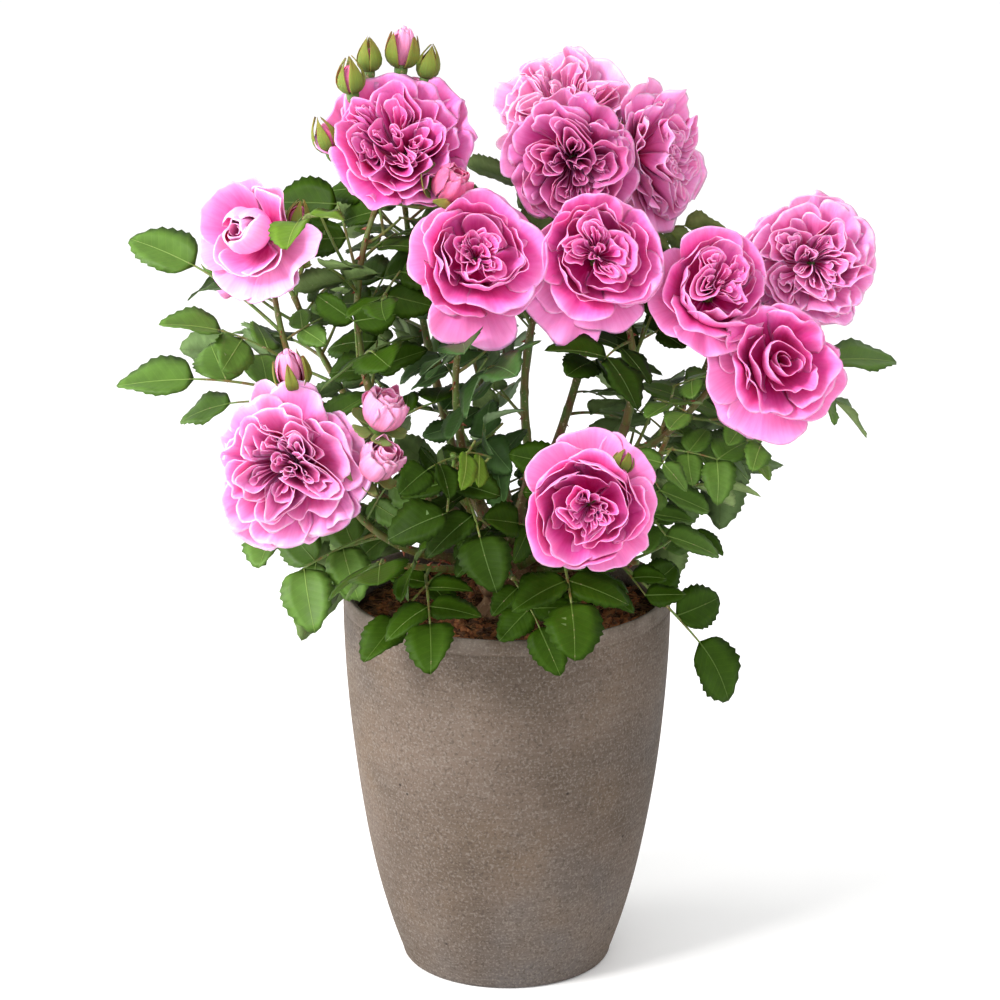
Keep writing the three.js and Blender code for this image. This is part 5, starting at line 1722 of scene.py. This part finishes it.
def petal_finish(name, colours):
    """A petal's colour runs from its claw to its rim, with a thin pale line along the edge and fine veins.
    The dark claw is partly the petal's own colour and partly painted shade deep in the bloom, and the pale
    rim and edge partly its own colour and partly a painted highlight.
    """
    finish = Finish(name, 0.6, Specular_IOR_Level=0.1, Subsurface_Weight=0.2, Subsurface_Scale=0.004)
    tree = finish.tree
    across, along, _ = node(tree, "SeparateXYZ", {0: finish.surface_places()}).outputs
    aside = calculate(tree, "ABSOLUTE", calculate(tree, "MULTIPLY_ADD", across, 2.0, -1.0))
    edge = calculate(tree, "MAXIMUM", calculate(tree, "POWER", aside, 6.0), along)
    flecks = finish.cloud(finish.surface_places((7, 3, 1)), 1.0, softness=0.5)
    # painted shade and highlight: the ramp darkens the claw, deep in the bloom, and pales the rim and edges
    ramp = node(tree, "ValToRGB", {0: calculate(tree, "MULTIPLY_ADD", flecks, -0.14, edge)})
    stops = ramp.color_ramp.elements
    stops[0].position, stops[0].color = RAMP[0], colours[0]
    stops[1].position, stops[1].color = RAMP[3], colours[3]
    for position, colour in zip(RAMP[1:3], colours[1:3]):
        stops.new(position).color = colour
    veins = finish.cloud(finish.surface_places((26, 1.6, 1)), 1.0, softness=0.6)
    shade = blend_colours(tree, 1.0, ramp.outputs[0], srgb("#f2d4e4", 1.0), "MULTIPLY")
    finish.colour(blend_colours(tree, calculate(tree, "MULTIPLY", veins, 0.6), ramp.outputs[0], shade))
    finish.bump(veins, 0.2, 0.5)
    return finish.material


RAMP = (0.08, 0.42, 0.8, 0.96)
# the dark claw colours are partly painted shade deep in the bloom, and the pale rim colours partly a painted
# highlight
PETAL_TONES = {  # at the claw, the middle, the upper part and the rim
    "hot": ("#ce1478", "#ee5eb4", "#f692d0", "#fbb6e0"),
    "rose": ("#c00c68", "#e252a8", "#ee8aca", "#f7b2de"),
    "mauve": ("#a40854", "#c2428c", "#d87ab4", "#ecaad2"),
    "blush": ("#cc2a7c", "#ee7cc0", "#f7a6da", "#fdd0ee"),
    "pale": ("#d84488", "#f08cc4", "#fab4de", "#ffdcf2"),
    "bud": ("#96123e", "#c22c64", "#e05c90", "#f0a0c0"),
    "young": ("#c01e60", "#e8609c", "#f496c4", "#fcc6e0"),
}
FADES = (0.0, 0.35, 0.35, 0.55, -0.3, 0.05)  # inner face and reverse of outer petals, guards and the heart


def faded(tone, fade):
    """A face's four colours, moved by a share towards the rim's, or by a negative one towards the claw's."""
    ramp = np.array([srgb(colour, PETAL["share"]) for colour in PETAL_TONES[tone]])
    goal = ramp[3] if fade > 0 else ramp[0]
    share = abs(fade) * np.array([[1.0, 1.0, 0.7, 0.3]]).T
    return [tuple(colour) for colour in ramp + (goal - ramp) * share]


UPPER_SKIN, LOWER_SKIN = petal_template()
EACH = PETAL["rows"] * PETAL["columns"] + (PETAL["rows"] - 2) * (PETAL["columns"] - 2)


def add_petals(name, skins, wears, tints, nodes=()):
    """One piece of many petals, with two tints for each wear: its inner face's and its reverse's. The grid's
    normals point to the reverse, so the upper skin is the reverse."""
    count = len(skins)
    faces = [many(UPPER_SKIN, count, EACH), many(LOWER_SKIN, count, EACH)]
    reverse = np.repeat(wears * 2 + 1, len(UPPER_SKIN))
    inner = np.repeat(wears * 2, len(LOWER_SKIN))
    finishes = [petal_finish(f"{name}_{number}", tint) for number, tint in enumerate(tints)]
    piece = add_mesh(name, skins.reshape(-1, 3), faces, finishes, wears=[reverse, inner],
                     uv=np.tile(petal_uv(), (count, 1)))
    dress(piece, nodes)


def add_blooms():
    """Every bloom's petals, joined by tone."""
    number = 0
    by_tone = {tone: {"skins": [], "wears": [], "nodes": set()} for tone in list(PETAL_TONES)[:5]}
    for name, spray in sprays.items():
        for bloom in spray["blooms"]:
            number += 1
            draw = np.random.default_rng(500 + number)
            places = GUARDS.get(number, EVEN_GUARDS)
            petals, strength = FORMS[bloom["form"]](draw, bloom["base"] + 0.04, places)
            grid = warped(petal_grid(petals), draw, strength)
            grid = stand(grid, bloom["centre"], bloom["facing"], bloom["radius"])
            group = by_tone[bloom["tone"]]
            group["skins"].append(petal_skins(grid, PETAL["thick"]))
            group["wears"].append(petals["wear"])
            group["nodes"].add(f"{name}_blooms")
            print(f"bloom {number}: {name} {bloom['form']} {bloom['tone']}, {len(grid)} petals")
    for tone, group in by_tone.items():
        tints = [faded(tone, fade) for fade in FADES]
        add_petals(f"petals_{tone}", np.concatenate(group["skins"]), np.concatenate(group["wears"]), tints,
                   sorted(group["nodes"]))


GUARDS = {  # blooms whose guard petals hang or spread to one side: azimuth on the bloom's face, and reach
    2: ((300, 1.42), (342, 1.3), (250, 1.22), (200, 1.1), (120, 1.05)),
    3: ((268, 1.32), (222, 1.22), (312, 1.22), (172, 1.14), (130, 1.06), (355, 1.08), (50, 1.05)),
    7: ((235, 1.62), (200, 1.3), (275, 1.35), (150, 1.12), (330, 1.1), (60, 1.0)),
    8: ((200, 1.28), (250, 1.35), (150, 1.2), (300, 1.15), (60, 1.0)),
    10: ((228, 1.5), (262, 1.35), (190, 1.2), (150, 1.1), (320, 1.1), (60, 1.0)),
    12: ((128, 1.12), (84, 1.14), (40, 1.18), (352, 1.14), (300, 1.12), (250, 1.08), (200, 1.04)),
}
add_blooms()

# %% [markdown]
# ## Buds
# A bud is petals rolled tightly round each other in five pointed sepals. Green buds are still shut, split
# ones show a little pink, pink ones stand free of their sepals, flushed ones are round and pink nearly all
# over, and opening ones are already small cups. The same petal surface makes all of them, and a sepal is a
# narrow petal that tapers to a point.

# %% Buds, hips and sepals
STAGES = {  # how wide and tall the petals stand, and how far the sepals spread, as shares of the bud's width
    "green": {"petals": 4, "wide": 0.42, "tall": 0.42, "close": 0.1, "broad": 0.86, "open": 0,
              "sepal": ((0.12, 0.72, 0.6, 0.03), (-0.62, -0.34, 0.22, 0.86))},
    "split": {"petals": 6, "wide": 0.44, "tall": 0.5, "close": 0.12, "broad": 0.66, "open": 0,
              "sepal": ((0.12, 0.72, 0.62, 0.1), (-0.62, -0.34, 0.2, 0.82))},
    "pink": {"petals": 8, "wide": 0.5, "tall": 0.84, "close": 0.25, "broad": 0.56, "open": 1,
             "sepal": ((0.12, 0.74, 0.7, 0.52), (-0.62, -0.42, -0.05, 0.62))},
    "flushed": {"petals": 9, "wide": 0.56, "tall": 0.62, "close": 0.55, "broad": 0.5, "open": 0,
                "sepal": ((0.12, 0.64, 0.8, 0.9), (-0.62, -0.6, -0.3, 0.1))},
    "opening": {"petals": 11, "wide": 0.6, "tall": 0.6, "close": 0.8, "broad": 0.5, "open": 1,
                "sepal": ((0.12, 0.6, 0.78, 0.8), (-0.62, -0.66, -0.52, -0.5))},
}
SEPAL_TONES = (("#7f9a55", "#8fae62", "#97a868", "#b3a07a"), ("#66803a", "#7f943c", "#8c8a40", "#9c5a48"),
               ("#7f9a55", "#8fae62", "#9cb06c", "#a9b57f"), ("#567733", "#6c8c40", "#789448", "#8ea05c"))
SEPALS = 5
CALYX = {"size": 23.0, "sunk": 1.5, "hip": 5.2, "seat": 0.03}  # in mm, but for a share of the bloom's radius
THICK = {"petal": 0.35, "sepal": 0.5, "calyx": 0.6}
HIP = {"bud": 0.25, "place": 0.9, "long": 1.35, "rows": 12}


def bud_petals(draw, stage):
    """Petals rolled round the bud's axis: each wraps it less than the one inside, and stands lower."""
    made, count, close = [], stage["petals"], stage["close"]
    for k in range(count):
        share = k / (count - 1)
        r = stage["wide"] * (0.35 + 0.65 * share)
        tip = stage["tall"] * (1 - 0.14 * share)
        made.append(layer(draw, [2.4 * k], 2.3 - 1.1 * share, (0.05, 1.25 * r, 1.2 * r, close * r + 0.02),
                          (-0.55, -0.45, tip * 0.7, tip), skew=0.08, ruffle=0.01 + 0.13 * share * close,
                          waves=1.8, corner=0.3, notch=0.03, ragged=0.03 * close, wear=stage["open"]))
    return joined(made)


def sepals(draw, stage):
    radial, axial = stage["sepal"]
    return layer(draw, even(draw, SEPALS), stage["broad"], radial, axial, ruffle=0.015, waves=0.8, corner=0.0,
                 notch=0.0, ragged=0.0, point=0.96, skew=0.03)


def add_buds_and_calyces():
    """Bud petals, the sepals of buds and blooms, and the green hips below them."""
    draw = np.random.default_rng(900)
    petals, reds, cups, greens, hips = [], [], [], [], []
    for spray in sprays.values():
        for bud in spray["buds"]:
            stage, facing, width = STAGES[bud["stage"]], bud["facing"], bud["width"]
            place = (bud["centre"], facing, width, ACROSS)
            rolled = bud_petals(draw, stage)
            petals.append(petal_skins(stand(petal_grid(rolled), *place), THICK["petal"]))
            reds.append(rolled["wear"])
            cups.append(petal_skins(stand(petal_grid(sepals(draw, stage)), *place), THICK["sepal"]))
            greens.append(np.full(SEPALS, 0))
            foot = bud["centre"] + facing * BUD["low"] * HIP["place"] * width
            hips.append((foot, facing, width * HIP["bud"]))
        for bloom in spray["blooms"]:
            facing = bloom["facing"]
            foot = bloom["centre"] + facing * (bloom["base"] + CALYX["seat"]) * bloom["radius"]
            leaf = layer(draw, even(draw, SEPALS), 0.5, (0.14, 0.5, 0.85, 1.05), (0.05, 0.1, -0.12, -0.4),
                         ruffle=0.03, waves=0.8, corner=0.0, notch=0.0, point=0.96, wear=1)
            cups.append(petal_skins(stand(petal_grid(leaf), foot, facing, CALYX["size"]), THICK["calyx"]))
            greens.append(leaf["wear"])
            hips.append((foot - facing * CALYX["sunk"], facing, CALYX["hip"]))
    tints = [faded(tone, fade) for tone in ("bud", "young") for fade in FADES[:2]]
    add_petals("bud_petals", np.concatenate(petals), np.concatenate(reds), tints)
    tints = [[srgb(colour) for colour in tone] for tone in SEPAL_TONES]
    add_petals("sepals", np.concatenate(cups), np.concatenate(greens), tints)
    angle = np.linspace(0, np.pi, HIP["rows"])
    paths = np.stack([centre - facing * np.cos(angle)[:, None] * size * HIP["long"]
                      for centre, facing, size in hips])
    radii = np.stack([np.maximum(np.sin(angle), 0.02) ** 0.8 * size for _, _, size in hips])
    add_tubes("hips", paths, radii, 12, bark_finish("hip_skin", "#6f8a3c", "#567a30", 0.1, 0.6, 0.5))


add_buds_and_calyces()
stalk_skin = bark_finish("stalk_skin", "#8a5a3a", "#6c8a3c", 0.12, 0.6, 0.5)
stalks = [curve for spray in sprays.values() for curve in spray["stalks"]]
add_limbs("bloom_stalks", stalks, stalk_skin)
add_limbs("shoot_tips", [spray["stub"] for spray in sprays.values()], STEM_SKIN)
